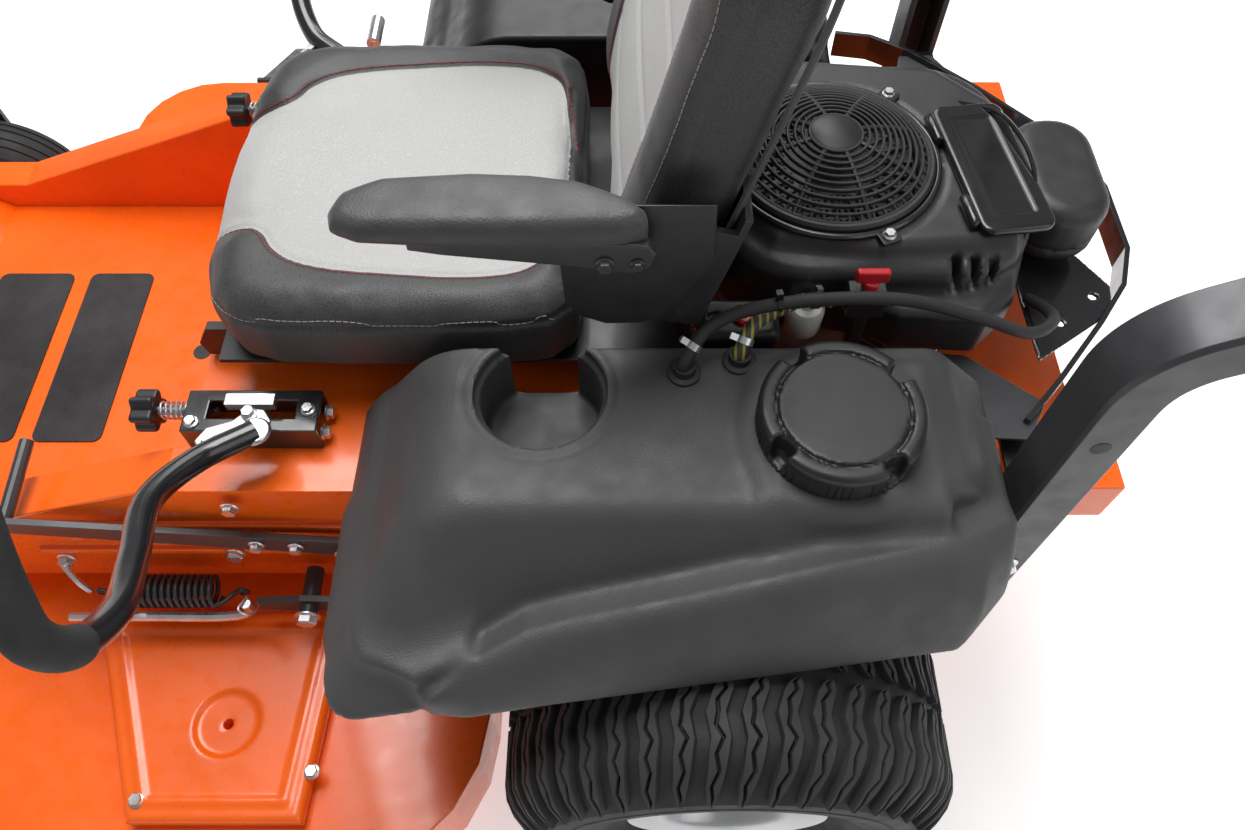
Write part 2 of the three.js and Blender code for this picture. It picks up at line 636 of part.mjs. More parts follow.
add('transaxle', transaxle(), CASTING);
add('fuel_tank', fuelTank(), GREY_PLASTIC);
add('fuel_cap', fuelCap(), BLACK_PLASTIC);
add('fuel_valve', fuelValve(), BLACK_PLASTIC);
add('fuel_valve_knob', valveKnob(), RED);
add('fuel_hose', fuelHose(), RUBBER);
add('vent_hose', ventHose(), RUBBER);
add('right_fender', rightFender(), GREY_PLASTIC);
add('lift_pedal', liftPedal(), BLACK_STEEL);
add('lift_shaft', liftShaft(), BLACK_STEEL);
add('lift_spring', liftSpring(), BLACK_STEEL);
add('link_rod', linkRod(), ZINC);
add('height_pin', heightPin(), ZINC);
add('deck_shell', deckShell(), ORANGE);
add('left_blade', cutter(BLADE.sideX, BLADE.y), BLACK_STEEL);
add('centre_blade', cutter(BLADE.centreX, 0), BLACK_STEEL);
add('right_blade', cutter(BLADE.sideX, -BLADE.y), BLACK_STEEL);
add('discharge_chute', dischargeChute(), BLACK_PLASTIC);
add('rops_hoop', ropsHoop(), BLACK_STEEL);
add('rear_guard', rearGuard(), BLACK_STEEL);

// The origin is the middle of the footprint, on the ground.
const reach = new THREE.Box3().setFromObject(mower);
const middle = reach.getCenter(new THREE.Vector3());
mower.position.set(-middle.x, -middle.y, 0);

export default mower;
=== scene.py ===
"""Zero turn mower: the looks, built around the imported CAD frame.

Sizes are millimetres in the mower's drawing frame: X forward from the rear axle, Y to the mower's left
from its centre line, Z up from the ground. place() turns them into the frame's metres."""
import math

import bmesh
import bpy
import numpy as np
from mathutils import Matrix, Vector
from mathutils.bvhtree import BVHTree


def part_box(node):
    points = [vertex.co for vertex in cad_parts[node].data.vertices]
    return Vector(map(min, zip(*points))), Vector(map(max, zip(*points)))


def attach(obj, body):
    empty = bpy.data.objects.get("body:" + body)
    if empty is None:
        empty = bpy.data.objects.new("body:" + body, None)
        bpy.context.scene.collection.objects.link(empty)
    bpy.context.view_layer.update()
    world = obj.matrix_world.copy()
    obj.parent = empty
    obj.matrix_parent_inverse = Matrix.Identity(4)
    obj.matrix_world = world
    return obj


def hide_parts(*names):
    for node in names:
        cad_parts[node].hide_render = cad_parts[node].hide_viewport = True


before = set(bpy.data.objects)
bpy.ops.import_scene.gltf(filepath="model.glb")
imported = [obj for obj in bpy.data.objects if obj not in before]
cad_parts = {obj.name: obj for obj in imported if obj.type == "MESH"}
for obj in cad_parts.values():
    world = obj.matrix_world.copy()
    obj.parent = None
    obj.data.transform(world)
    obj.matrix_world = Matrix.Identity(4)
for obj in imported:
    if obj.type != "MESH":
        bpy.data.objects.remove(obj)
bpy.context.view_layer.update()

LEFT_TYRE, RIGHT_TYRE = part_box("left_rear_tyre"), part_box("right_rear_tyre")
ORIGIN = np.array([(LEFT_TYRE[0].x + LEFT_TYRE[1].x) / 2, (LEFT_TYRE[0].y + RIGHT_TYRE[1].y) / 2, 0.0])
MM = 0.001
SIDES = (("left", 1), ("right", -1))

# ---- driving sizes, as in the CAD source ----
REAR_WHEEL = {"radius": 254, "half": 115, "y": 535}
FRONT_WHEEL = {"radius": 140, "half": 50, "y": 475, "x": 1240}
ENGINE = {"x": -107, "y": 26, "shroud": 688}
CUP = {"x": 200, "y": 296, "radius": 61, "floor": 556}
CAP = {"x": -85, "y": 344, "face": 79, "base": 644.5, "height": 40}
TANK = {"inner": 243, "top": 640, "rear": -264, "front": 308}
FLIP = {"x": -233, "y": 50, "turn": 0.13, "wide": 84, "long": 190, "z": 688.4}
BACK = {"lean": 0.25, "x": 152, "z": 644}
SEAT_TOP = 650
ROPS = {"x": -298, "foot": 380, "half": 26, "inner": 345, "outer": 400, "wall": 8, "corner": 4}
CAMERA = {"at": (119, 815, 1430), "tilt": 31.8, "lens": 27.76}
FLOOR = {"radius": 30000, "steps": 48, "drop": 0.6}
LAMPS = (("key", (500, -700, 3300), 2.0, 105), ("fill", (-1900, 1500, 2200), 2.2, 16),
         ("rim", (300, -2300, 2400), 2.0, 34))
LAMP_AIM = (150, 100, 450)
LEVER_ROUTE = [(504, 300, 566), (549, 339, 578), (569, 402, 612), (547, 478, 650), (526, 540, 690),
               (521, 588, 742), (524, 600, 790), (524, 586, 832), (520, 566, 880), (514, 543, 930),
               (508, 522, 975)]
GRIP_START = 5
FUEL_HOSE = [(2, 262, 640.4), (2, 262, 658), (-12, 240, 674), (-50, 214, 672), (-74, 200, 660),
             (-96, 197, 656)]
VENT_HOSE = [(58, 276, 640.4), (58, 276, 660), (34, 252, 684), (-10, 240, 698), (-80, 232, 702),
             (-160, 224, 690), (-240, 222, 660), (-300, 222, 634), (-336, 196, 620), (-345, 160, 596),
             (-338, 132, 578)]


# ---- mesh building ----
def place(verts):
    return np.asarray(verts, float) * MM + ORIGIN


def merge(*shapes):
    verts, faces = [], []
    for shape_verts, shape_faces in shapes:
        base = len(verts)
        verts.extend(map(tuple, shape_verts))
        faces.extend([base + i for i in face] for face in shape_faces)
    return verts, faces


def piece(name, shape, material, body, sharp=35, bevel=0.0, segments=2):
    """A new visible piece made from (verts, faces), riding on a body."""
    verts, faces = shape
    mesh = bpy.data.meshes.new(name)
    mesh.from_pydata([tuple(v) for v in place(verts)], [], [list(map(int, f)) for f in faces])
    work = bmesh.new()
    work.from_mesh(mesh)
    bmesh.ops.recalc_face_normals(work, faces=work.faces)
    work.to_mesh(mesh)
    work.free()
    mesh.shade_smooth()
    mesh.set_sharp_from_angle(angle=math.radians(sharp))
    obj = bpy.data.objects.new(name, mesh)
    bpy.context.scene.collection.objects.link(obj)
    mesh.materials.append(material)
    if bevel:
        add_bevel(obj, bevel, segments)
    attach(obj, body)
    return obj


def add_bevel(obj, width, segments=2):
    mod = obj.modifiers.new("edges", "BEVEL")
    mod.width = width * MM
    mod.segments = segments
    mod.limit_method = "ANGLE"
    mod.angle_limit = math.radians(40)
    mod.harden_normals = True
    return mod


def loft(rings, caps=True, closed=False):
    count = len(rings[0])
    verts = [tuple(p) for ring in rings for p in ring]
    faces = []
    last = len(rings) if closed else len(rings) - 1
    for i in range(last):
        a, b = i * count, ((i + 1) % len(rings)) * count
        for j in range(count):
            k = (j + 1) % count
            faces.append((a + j, a + k, b + k, b + j))
    if caps and not closed:
        faces.append(tuple(reversed(range(count))))
        faces.append(tuple(range((len(rings) - 1) * count, len(rings) * count)))
    return verts, faces


def turn_to(shape, at, axis):
    """Moves a shape built round +Z so that +Z points along axis at a place."""
    turn = Vector((0, 0, 1)).rotation_difference(Vector(axis).normalized()).to_matrix()
    matrix = np.array(turn)
    return (np.asarray(shape[0], float) @ matrix.T + np.asarray(at, float), shape[1])


def shifted(shape, offset):
    return (np.asarray(shape[0], float) + np.asarray(offset, float), shape[1])


def mirrored(shape):
    return (np.asarray(shape[0], float) * [1, -1, 1], [tuple(reversed(f)) for f in shape[1]])


def sided(shape, side):
    return shape if side > 0 else mirrored(shape)


def lathe(profile, steps=48, closed=False):
    """A body of revolution round +Z from (radius, height) pairs."""
    verts, rings, faces = [], [], []
    for radius, height in profile:
        if radius < 1e-6:
            rings.append([len(verts)])
            verts.append((0, 0, height))
            continue
        rings.append(list(range(len(verts), len(verts) + steps)))
        for i in range(steps):
            angle = 2 * math.pi * i / steps
            verts.append((radius * math.cos(angle), radius * math.sin(angle), height))
    pairs = list(zip(rings, rings[1:] + ([rings[0]] if closed else [])))
    for a, b in pairs:
        for i in range(steps):
            j = (i + 1) % steps
            if len(a) == 1:
                faces.append((a[0], b[j], b[i]))
            elif len(b) == 1:
                faces.append((a[i], a[j], b[0]))
            else:
                faces.append((a[i], a[j], b[j], b[i]))
    return verts, faces


def curve_through(points, step=6.0):
    """A smooth line through points, sampled about every step."""
    spots = [np.array(p, float) for p in points]
    spots = [2 * spots[0] - spots[1], *spots, 2 * spots[-1] - spots[-2]]
    out = []
    for before, a, b, after in zip(spots, spots[1:], spots[2:], spots[3:]):
        count = max(2, int(np.linalg.norm(b - a) / step))
        for i in range(count):
            t = i / count
            out.append(0.5 * (2 * a + (b - before) * t + (2 * before - 5 * a + 4 * b - after) * t ** 2
                              + (3 * a - before - 3 * b + after) * t ** 3))
    out.append(spots[-2])
    return np.array(out)


def sweep(path, radius, sides=14, rounded=False, flat=1.0):
    """A round bar along a path; radius may be a list, flat squeezes it across its second axis."""
    path = np.asarray(path, float)
    radii = np.broadcast_to(np.asarray(radius, float), (len(path),)).copy()
    along = np.gradient(path, axis=0)
    along /= np.linalg.norm(along, axis=1)[:, None]
    if rounded:
        cap = radii[0]
        ends = [(1.0, 0.25), (0.75, 0.66), (0.4, 0.92)]
        start = [path[0] - along[0] * cap * far for far, _ in ends]
        finish = [path[-1] + along[-1] * cap * far for far, _ in reversed(ends)]
        path = np.vstack([start, path, finish])
        radii = np.concatenate([[cap * s for _, s in ends], radii,
                                [radii[-1] * s for _, s in reversed(ends)]])
        along = np.vstack([[along[0]] * 3, along, [along[-1]] * 3])
    side = np.cross(along[0], [0, 0, 1.0])
    if np.linalg.norm(side) < 0.1:
        side = np.cross(along[0], [1.0, 0, 0])
    side /= np.linalg.norm(side)
    rings = []
    for spot, direction, size in zip(path, along, radii):
        side = side - direction * side.dot(direction)
        side /= np.linalg.norm(side)
        other = np.cross(direction, side)
        angles = 2 * np.pi * np.arange(sides) / sides
        rings.append(spot + size * (np.outer(np.cos(angles), side) + flat * np.outer(np.sin(angles), other)))
    return loft(rings)


def prism(outline, low, high, axis="z"):
    """A flat outline raised between two heights along x, y or z."""
    def spot(a, b, c):
        return {"z": (a, b, c), "y": (a, c, b), "x": (c, a, b)}[axis]
    count = len(outline)
    verts = [spot(a, b, low) for a, b in outline] + [spot(a, b, high) for a, b in outline]
    faces = [tuple(reversed(range(count))), tuple(range(count, 2 * count))]
    faces += [(i, (i + 1) % count, count + (i + 1) % count, count + i) for i in range(count)]
    return verts, faces


def slab(low, high):
    return prism([(low[0], low[1]), (high[0], low[1]), (high[0], high[1]), (low[0], high[1])], low[2],
                 high[2])


def rounded_outline(x0, x1, y0, y1, radius, steps=6):
    out = []
    corners = [(x1 - radius, y1 - radius), (x0 + radius, y1 - radius), (x0 + radius, y0 + radius),
               (x1 - radius, y0 + radius)]
    for quarter, (cx, cy) in enumerate(corners):
        for i in range(steps + 1):
            angle = math.pi / 2 * (quarter + i / steps)
            out.append((cx + radius * math.cos(angle), cy + radius * math.sin(angle)))
    return out


def hex_bolt(at, axis, across=17, height=9, flange=None):
    """A hex head on a flange or washer, standing on a surface."""
    flange = flange or across * 0.72
    ring = lathe([(0, 0), (flange, 0), (flange, 1.6), (across * 0.55, 2.8), (0, 2.8)], 28)
    radius = across / math.sqrt(3)
    rings = []
    for size, z in ((1.0, 2.5), (1.0, height - 1.5), (0.9, height), (0.5, height)):
        rings.append([(radius * size * math.cos(a), radius * size * math.sin(a), z)
                      for a in [math.pi / 3 * i for i in range(6)]])
    return turn_to(merge(ring, loft(rings)), at, axis)


def stud(at, axis, radius=4, length=14):
    """A threaded end: a bar with a raised thread round it."""
    turns = int(length / 1.6)
    rounds = [(radius - 0.35 + 0.7 * (i % 2), i * length / (2 * turns)) for i in range(2 * turns + 1)]
    profile = [(0, 0), *rounds, (radius - 1.2, length + 0.8), (0, length + 0.8)]
    return turn_to(lathe(profile, 16), at, axis)


def coil(start, finish, radius, wire, turns, sides=8):
    """A helical spring between two points."""
    start, finish = np.array(start, float), np.array(finish, float)
    axis = finish - start
    steps = int(turns * 16)
    share = np.arange(steps + 1) / steps
    angle = share * turns * 2 * np.pi
    local = np.stack([radius * np.cos(angle), radius * np.sin(angle), share * np.linalg.norm(axis)], 1)
    turn = np.array(Vector((0, 0, 1)).rotation_difference(Vector(axis).normalized()).to_matrix())
    return sweep(local @ turn.T + start, wire, sides)


# ---- solids from distance fields: rounded mouldings with smooth blends ----
def soft_min(a, b, k):
    h = np.clip(0.5 + 0.5 * (b - a) / k, 0, 1)
    return b * (1 - h) + a * h - k * h * (1 - h)


def soft_max(a, b, k):
    return -soft_min(-a, -b, k)


def box_field(x, y, z, low, high, r):
    q = [abs(v - (a + b) / 2) - (b - a) / 2 + r for v, a, b in zip((x, y, z), low, high)]
    outer = np.sqrt(sum(np.maximum(v, 0) ** 2 for v in q))
    return outer + np.minimum(np.maximum(np.maximum(q[0], q[1]), q[2]), 0) - r


def polygon_field(u, v, points):
    nearest = np.full(np.broadcast(u, v).shape, 1e9)
    inside = np.zeros(nearest.shape, bool)
    for (ax, ay), (bx, by) in zip(points, points[1:] + points[:1]):
        ex, ey = bx - ax, by - ay
        wx, wy = u - ax, v - ay
        t = np.clip((wx * ex + wy * ey) / (ex * ex + ey * ey), 0, 1)
        nearest = np.minimum(nearest, np.hypot(wx - ex * t, wy - ey * t))
        crosses = (ay > v) != (by > v)
        with np.errstate(divide="ignore", invalid="ignore"):
            left = u < ex * (v - ay) / (ey if ey else 1e-9) + ax
        inside ^= crosses & left
    return np.where(inside, -nearest, nearest)


def raised(flat, w, low, high, r):
    """A field for an outline (a 2D field) between two heights, with rounded edges."""
    a, b = flat + r, abs(w - (low + high) / 2) - (high - low) / 2 + r
    return np.minimum(np.maximum(a, b), 0) + np.hypot(np.maximum(a, 0), np.maximum(b, 0)) - r


def contour(field, low, high, step):
    """The zero surface of a field as quads, pulled exactly onto it."""
    axes = [np.arange(a - 2.5 * step, b + 3 * step, step) for a, b in zip(low, high)]
    value = field(*np.meshgrid(*axes, indexing="ij"))
    cells = tuple(n - 1 for n in value.shape)
    total, count, quads = np.zeros((np.prod(cells), 3)), np.zeros(np.prod(cells)), []
    for axis in range(3):
        u, v = (axis + 1) % 3, (axis + 2) % 3
        a = np.transpose(value, (axis, u, v))
        i, j, k = np.nonzero((a[:-1] < 0) != (a[1:] < 0))
        t = a[i, j, k] / (a[i, j, k] - a[i + 1, j, k])
        spot = np.empty((len(i), 3))
        spot[:, axis] = axes[axis][i] + t * step
        spot[:, u], spot[:, v] = axes[u][j], axes[v][k]
        ring = []
        for dj, dk in ((-1, -1), (0, -1), (0, 0), (-1, 0)):
            cell = np.empty((len(i), 3), int)
            cell[:, axis], cell[:, u], cell[:, v] = i, j + dj, k + dk
            index = np.ravel_multi_index(tuple(cell.T), cells)
            ring.append(index)
            for c in range(3):
                total[:, c] += np.bincount(index, spot[:, c], len(count))
            count += np.bincount(index, minlength=len(count))
        quad = np.stack(ring, 1)
        outward = a[i, j, k] < 0
        quads.append(np.where(outward[:, None], quad, quad[:, ::-1]))
    faces = np.concatenate(quads)
    used, inverse = np.unique(faces, return_inverse=True)
    verts = total[used] / count[used][:, None]
    for _ in range(3):
        here = field(*verts.T)
        slope = np.stack([(field(*(verts + e).T) - field(*(verts - e).T)) for e in np.eye(3) * 0.5], 1)
        size = np.maximum((slope ** 2).sum(1), 0.05)
        move = -(here / size)[:, None] * slope
        length = np.linalg.norm(move, axis=1)[:, None]
        verts = verts + move * np.minimum(1, step * 0.5 / np.maximum(length, 1e-9))
    return verts, inverse.reshape(faces.shape)


# ---- materials ----
def new_material(name):
    mat = bpy.data.materials.new(name)
    mat.use_nodes = True
    return mat, mat.node_tree.nodes, mat.node_tree.links


def noise_node(nodes, links, coords, scale, detail=3.0, rough=0.5):
    node = nodes.new("ShaderNodeTexNoise")
    node.inputs["Scale"].default_value = scale
    node.inputs["Detail"].default_value = detail
    node.inputs["Roughness"].default_value = rough
    links.new(coords.outputs["Object"], node.inputs["Vector"])
    return node


def cell_node(nodes, links, coords, scale, feature="F1"):
    node = nodes.new("ShaderNodeTexVoronoi")
    node.feature = feature
    node.inputs["Scale"].default_value = scale
    links.new(coords.outputs["Object"], node.inputs["Vector"])
    return node


def map_range(nodes, links, source, low, high, to_low, to_high):
    node = nodes.new("ShaderNodeMapRange")
    for key, value in (("From Min", low), ("From Max", high), ("To Min", to_low), ("To Max", to_high)):
        node.inputs[key].default_value = value
    links.new(source, node.inputs["Value"])
    return node.outputs["Result"]


def mix_color(nodes, links, factor, a, b):
    node = nodes.new("ShaderNodeMix")
    node.data_type = "RGBA"
    links.new(factor, node.inputs[0])
    for socket, value in ((node.inputs[6], a), (node.inputs[7], b)):
        if isinstance(value, tuple):
            socket.default_value = (*value, 1)
        else:
            links.new(value, socket)
    return node.outputs[2]


def bump(nodes, links, height, strength, distance, before=None):
    node = nodes.new("ShaderNodeBump")
    node.inputs["Strength"].default_value = strength
    node.inputs["Distance"].default_value = distance
    links.new(height, node.inputs["Height"])
    if before is not None:
        links.new(before, node.inputs["Normal"])
    return node.outputs["Normal"]


def surface(name, color, roughness, metallic=0.0, grain=900.0, depth=0.15, spread=0.12, cells=False,
            coat=0.0, edge_highlight=0.0, sheen=0.0, specular=0.5, swing=0.08):
    """A finish with broad colour variation, uneven roughness, a moulded or brushed grain and a painted
    highlight that lightens its sharp convex edges.
    """
    mat, nodes, links = new_material(name)
    shader = nodes["Principled BSDF"]
    coords = nodes.new("ShaderNodeTexCoord")
    broad = noise_node(nodes, links, coords, 9.0, 5.0)
    fine = (cell_node if cells else noise_node)(nodes, links, coords, grain)
    fine_out = fine.outputs["Distance"] if cells else fine.outputs[0]
    dark = tuple(c * (1 - spread) for c in color)
    light = tuple(min(1.0, c * (1 + spread) + 0.002) for c in color)
    tone = mix_color(nodes, links, map_range(nodes, links, broad.outputs[0], 0.35, 0.65, 0, 1), dark, light)
    # painted highlight: convex edges (high pointiness) get a lighter base colour, as where light catches an
    # edge
    if edge_highlight:
        edge = nodes.new("ShaderNodeNewGeometry")
        share = map_range(nodes, links, edge.outputs["Pointiness"], 0.53, 0.62, 0, edge_highlight)
        tone = mix_color(nodes, links, share, tone, tuple(min(1.0, c * 1.6 + 0.06) for c in color))
    links.new(tone, shader.inputs["Base Color"])
    patches = noise_node(nodes, links, coords, 38.0, 4.0)
    links.new(map_range(nodes, links, patches.outputs[0], 0.3, 0.7, roughness - swing, roughness + swing),
              shader.inputs["Roughness"])
    links.new(bump(nodes, links, fine_out, depth, 0.0006), shader.inputs["Normal"])
    shader.inputs["Metallic"].default_value = metallic
    shader.inputs["Coat Weight"].default_value = coat
    shader.inputs["Coat Roughness"].default_value = 0.12
    shader.inputs["Sheen Weight"].default_value = sheen
    shader.inputs["Specular IOR Level"].default_value = specular
    return mat


def two_tone_vinyl(name, light, dark):
    """Grained vinyl: light where the mesh attribute "insert" is above zero, dark leather grain elsewhere."""
    mat, nodes, links = new_material(name)
    shader = nodes["Principled BSDF"]
    coords = nodes.new("ShaderNodeTexCoord")
    mask = nodes.new("ShaderNodeAttribute")
    mask.attribute_name = "insert"
    inside = map_range(nodes, links, mask.outputs["Fac"], -0.4, 0.4, 0, 1)
    broad = noise_node(nodes, links, coords, 16.0, 5.0)
    shade = map_range(nodes, links, broad.outputs[0], 0.35, 0.65, 0, 1)
    pale = mix_color(nodes, links, shade, tuple(c * 0.93 for c in light), light)
    deep = mix_color(nodes, links, shade, tuple(c * 0.75 for c in dark), tuple(c * 1.2 for c in dark))
    tone = mix_color(nodes, links, inside, deep, pale)
    creases = cell_node(nodes, links, coords, 330.0, "DISTANCE_TO_EDGE")
    crease = map_range(nodes, links, creases.outputs["Distance"], 0.0, 0.12, 0, 1)
    links.new(mix_color(nodes, links, crease, mix_color(nodes, links, inside, (0.012,) * 3, (0.42,) * 3),
                        tone),
              shader.inputs["Base Color"])
    fine = noise_node(nodes, links, coords, 1400.0, 2.0)
    first = bump(nodes, links, crease, 0.28, 0.0004)
    links.new(bump(nodes, links, fine.outputs[0], 0.12, 0.0003, first), shader.inputs["Normal"])
    links.new(map_range(nodes, links, broad.outputs[0], 0.3, 0.7, 0.42, 0.56), shader.inputs["Roughness"])
    shader.inputs["Sheen Weight"].default_value = 0.08
    return mat


def perforated_painted_shade(name):
    """A dark metal screen with rows of holes drawn in its colour, painted near-black as painted shade, with a
    bump at their rims.
    """
    mat, nodes, links = new_material(name)
    shader = nodes["Principled BSDF"]
    coords = nodes.new("ShaderNodeTexCoord")
    holes = cell_node(nodes, links, coords, 150.0)
    holes.inputs["Randomness"].default_value = 0.0
    share = map_range(nodes, links, holes.outputs["Distance"], 0.28, 0.36, 0, 1)
    # painted shade: the hole spots are near-black in the base colour, standing in for the shaded space behind
    # the screen
    links.new(mix_color(nodes, links, share, (0.002, 0.002, 0.002), (0.09, 0.09, 0.095)),
              shader.inputs["Base Color"])
    links.new(bump(nodes, links, share, 0.6, 0.001), shader.inputs["Normal"])
    links.new(map_range(nodes, links, share, 0, 1, 0.9, 0.35), shader.inputs["Roughness"])
    shader.inputs["Metallic"].default_value = 0.4
    return mat


def striped_hose(name):
    """Grey-green hose with a yellow stripe wound along it."""
    mat, nodes, links = new_material(name)
    shader = nodes["Principled BSDF"]
    coords = nodes.new("ShaderNodeTexCoord")
    wave = nodes.new("ShaderNodeTexWave")
    wave.inputs["Scale"].default_value = 40.0
    wave.inputs["Distortion"].default_value = 1.0
    links.new(coords.outputs["Object"], wave.inputs["Vector"])
    share = map_range(nodes, links, wave.outputs["Fac"], 0.72, 0.8, 0, 1)
    links.new(mix_color(nodes, links, share, (0.05, 0.052, 0.035), (0.4, 0.33, 0.06)),
              shader.inputs["Base Color"])
    fine = noise_node(nodes, links, coords, 900.0)
    links.new(bump(nodes, links, fine.outputs[0], 0.2, 0.0004), shader.inputs["Normal"])
    shader.inputs["Roughness"].default_value = 0.55
    return mat


ORANGE = surface("orange_paint", (0.95, 0.132, 0.003), 0.3, grain=420.0, depth=0.05, spread=0.05, coat=0.35,
                 edge_highlight=0.05)
BLACK_PAINT = surface("black_paint", (0.014, 0.014, 0.016), 0.38, grain=700.0, depth=0.1, coat=0.15,
                      edge_highlight=0.35)
GLOSS_BLACK = surface("gloss_black", (0.012, 0.012, 0.014), 0.2, grain=500.0, depth=0.05, coat=0.5, edge_highlight=0.3)
GREY_STEEL = surface("grey_steel", (0.04, 0.041, 0.044), 0.42, 0.2, grain=600.0, depth=0.1, coat=0.1,
                     edge_highlight=0.4)
ZINC = surface("zinc", (0.66, 0.67, 0.68), 0.3, 0.95, grain=650.0, depth=0.12, spread=0.1)
STEEL = surface("bare_steel", (0.3, 0.3, 0.31), 0.38, 0.9, grain=500.0, depth=0.15, spread=0.2)
CAST = surface("cast_metal", (0.32, 0.33, 0.35), 0.55, 0.6, grain=420.0, depth=0.5, spread=0.15, edge_highlight=0.3)
SILVER = surface("silver_rim", (0.62, 0.63, 0.64), 0.34, 0.6, grain=800.0, depth=0.06, coat=0.2, edge_highlight=0.2)
RUBBER = surface("tyre_rubber", (0.012, 0.012, 0.013), 0.72, grain=620.0, depth=0.35, spread=0.25, edge_highlight=0.3)
HOSE = surface("hose_rubber", (0.02, 0.02, 0.021), 0.6, grain=1200.0, depth=0.25)
STRIPED = striped_hose("striped_hose")
TANK_GREY = surface("tank_plastic", (0.048, 0.048, 0.05), 0.55, grain=520.0, depth=0.32, spread=0.06,
                    cells=True, edge_highlight=0.3)
SHROUD = surface("shroud_plastic", (0.024, 0.024, 0.026), 0.42, grain=900.0, depth=0.25, spread=0.08,
                 cells=True, edge_highlight=0.3)
PLASTIC = surface("black_plastic", (0.010, 0.010, 0.011), 0.42, grain=1000.0, depth=0.15, edge_highlight=0.35)
GLOSS_PLASTIC = surface("gloss_plastic", (0.012, 0.012, 0.013), 0.18, grain=700.0, depth=0.03, coat=0.3)
FOAM = surface("grip_foam", (0.02, 0.02, 0.021), 0.85, grain=950.0, depth=0.6, spread=0.2, cells=True)
RED = surface("red_plastic", (0.62, 0.01, 0.015), 0.3, grain=900.0, depth=0.05, coat=0.3)
WHITE = surface("white_plastic", (0.75, 0.75, 0.73), 0.4, grain=800.0, depth=0.05)
GRIT = surface("grit_pad", (0.022, 0.022, 0.023), 0.8, grain=330.0, depth=1.0, spread=0.4, cells=True)
SCREEN = perforated_painted_shade("screen")
VINYL = two_tone_vinyl("seat_vinyl", (0.36, 0.356, 0.345), (0.036, 0.036, 0.038))
DARK_VINYL = surface("dark_vinyl", (0.034, 0.034, 0.036), 0.5, grain=420.0, depth=0.35, spread=0.15,
                     cells=True, sheen=0.1)
RED_THREAD = surface("red_thread", (0.3, 0.012, 0.012), 0.6, grain=2500.0, depth=0.4)
GREY_THREAD = surface("grey_thread", (0.25, 0.25, 0.245), 0.6, grain=2500.0, depth=0.4)

# ---- CAD nodes that stay: rounded edges and finishes ----
KEPT = {
    "left_rail": (ORANGE, 3), "right_rail": (ORANGE, 3), "front_cross_beam": (ORANGE, 5),
    "engine_plate": (ORANGE, 1.5), "foot_pan": (ORANGE, 1.5), "seat_platform": (ORANGE, 1.5),
    "deck_shell": (ORANGE, 3), "seat_frame": (BLACK_PAINT, 1.5), "engine_block": (CAST, 4),
    "muffler": (STEEL, 4), "transaxle": (CAST, 6), "left_caster_fork": (GREY_STEEL, 2),
    "right_caster_fork": (GREY_STEEL, 2), "left_lever_bracket": (GLOSS_BLACK, 2),
    "right_lever_bracket": (ZINC, 2), "left_lever_pivot": (ZINC, 1), "right_lever_pivot": (ZINC, 1),
    "link_rod": (ZINC, 0), "height_pin": (ZINC, 1), "lift_pedal": (GREY_STEEL, 1.5),
    "lift_shaft": (GREY_STEEL, 1.5), "left_blade": (STEEL, 1), "centre_blade": (STEEL, 1),
    "right_blade": (STEEL, 1), "discharge_chute": (PLASTIC, 1), "rops_hoop": (BLACK_PAINT, 5),
    "rear_guard": (GLOSS_BLACK, 1.5),
    "flywheel": (STEEL, 1.5),
}


def dress_frame():
    for node, (look, round_by) in KEPT.items():
        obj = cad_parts[node]
        obj.data.materials.clear()
        obj.data.materials.append(look)
        weld = obj.modifiers.new("weld", "WELD")
        weld.merge_threshold = 0.00002
        if round_by:
            add_bevel(obj, round_by)


# ---- wheels ----
def tyre_radius(y, crown, flat, half, drop):
    return crown - drop * np.clip((abs(y) - flat) / (half - flat), 0, 1) ** 2.1


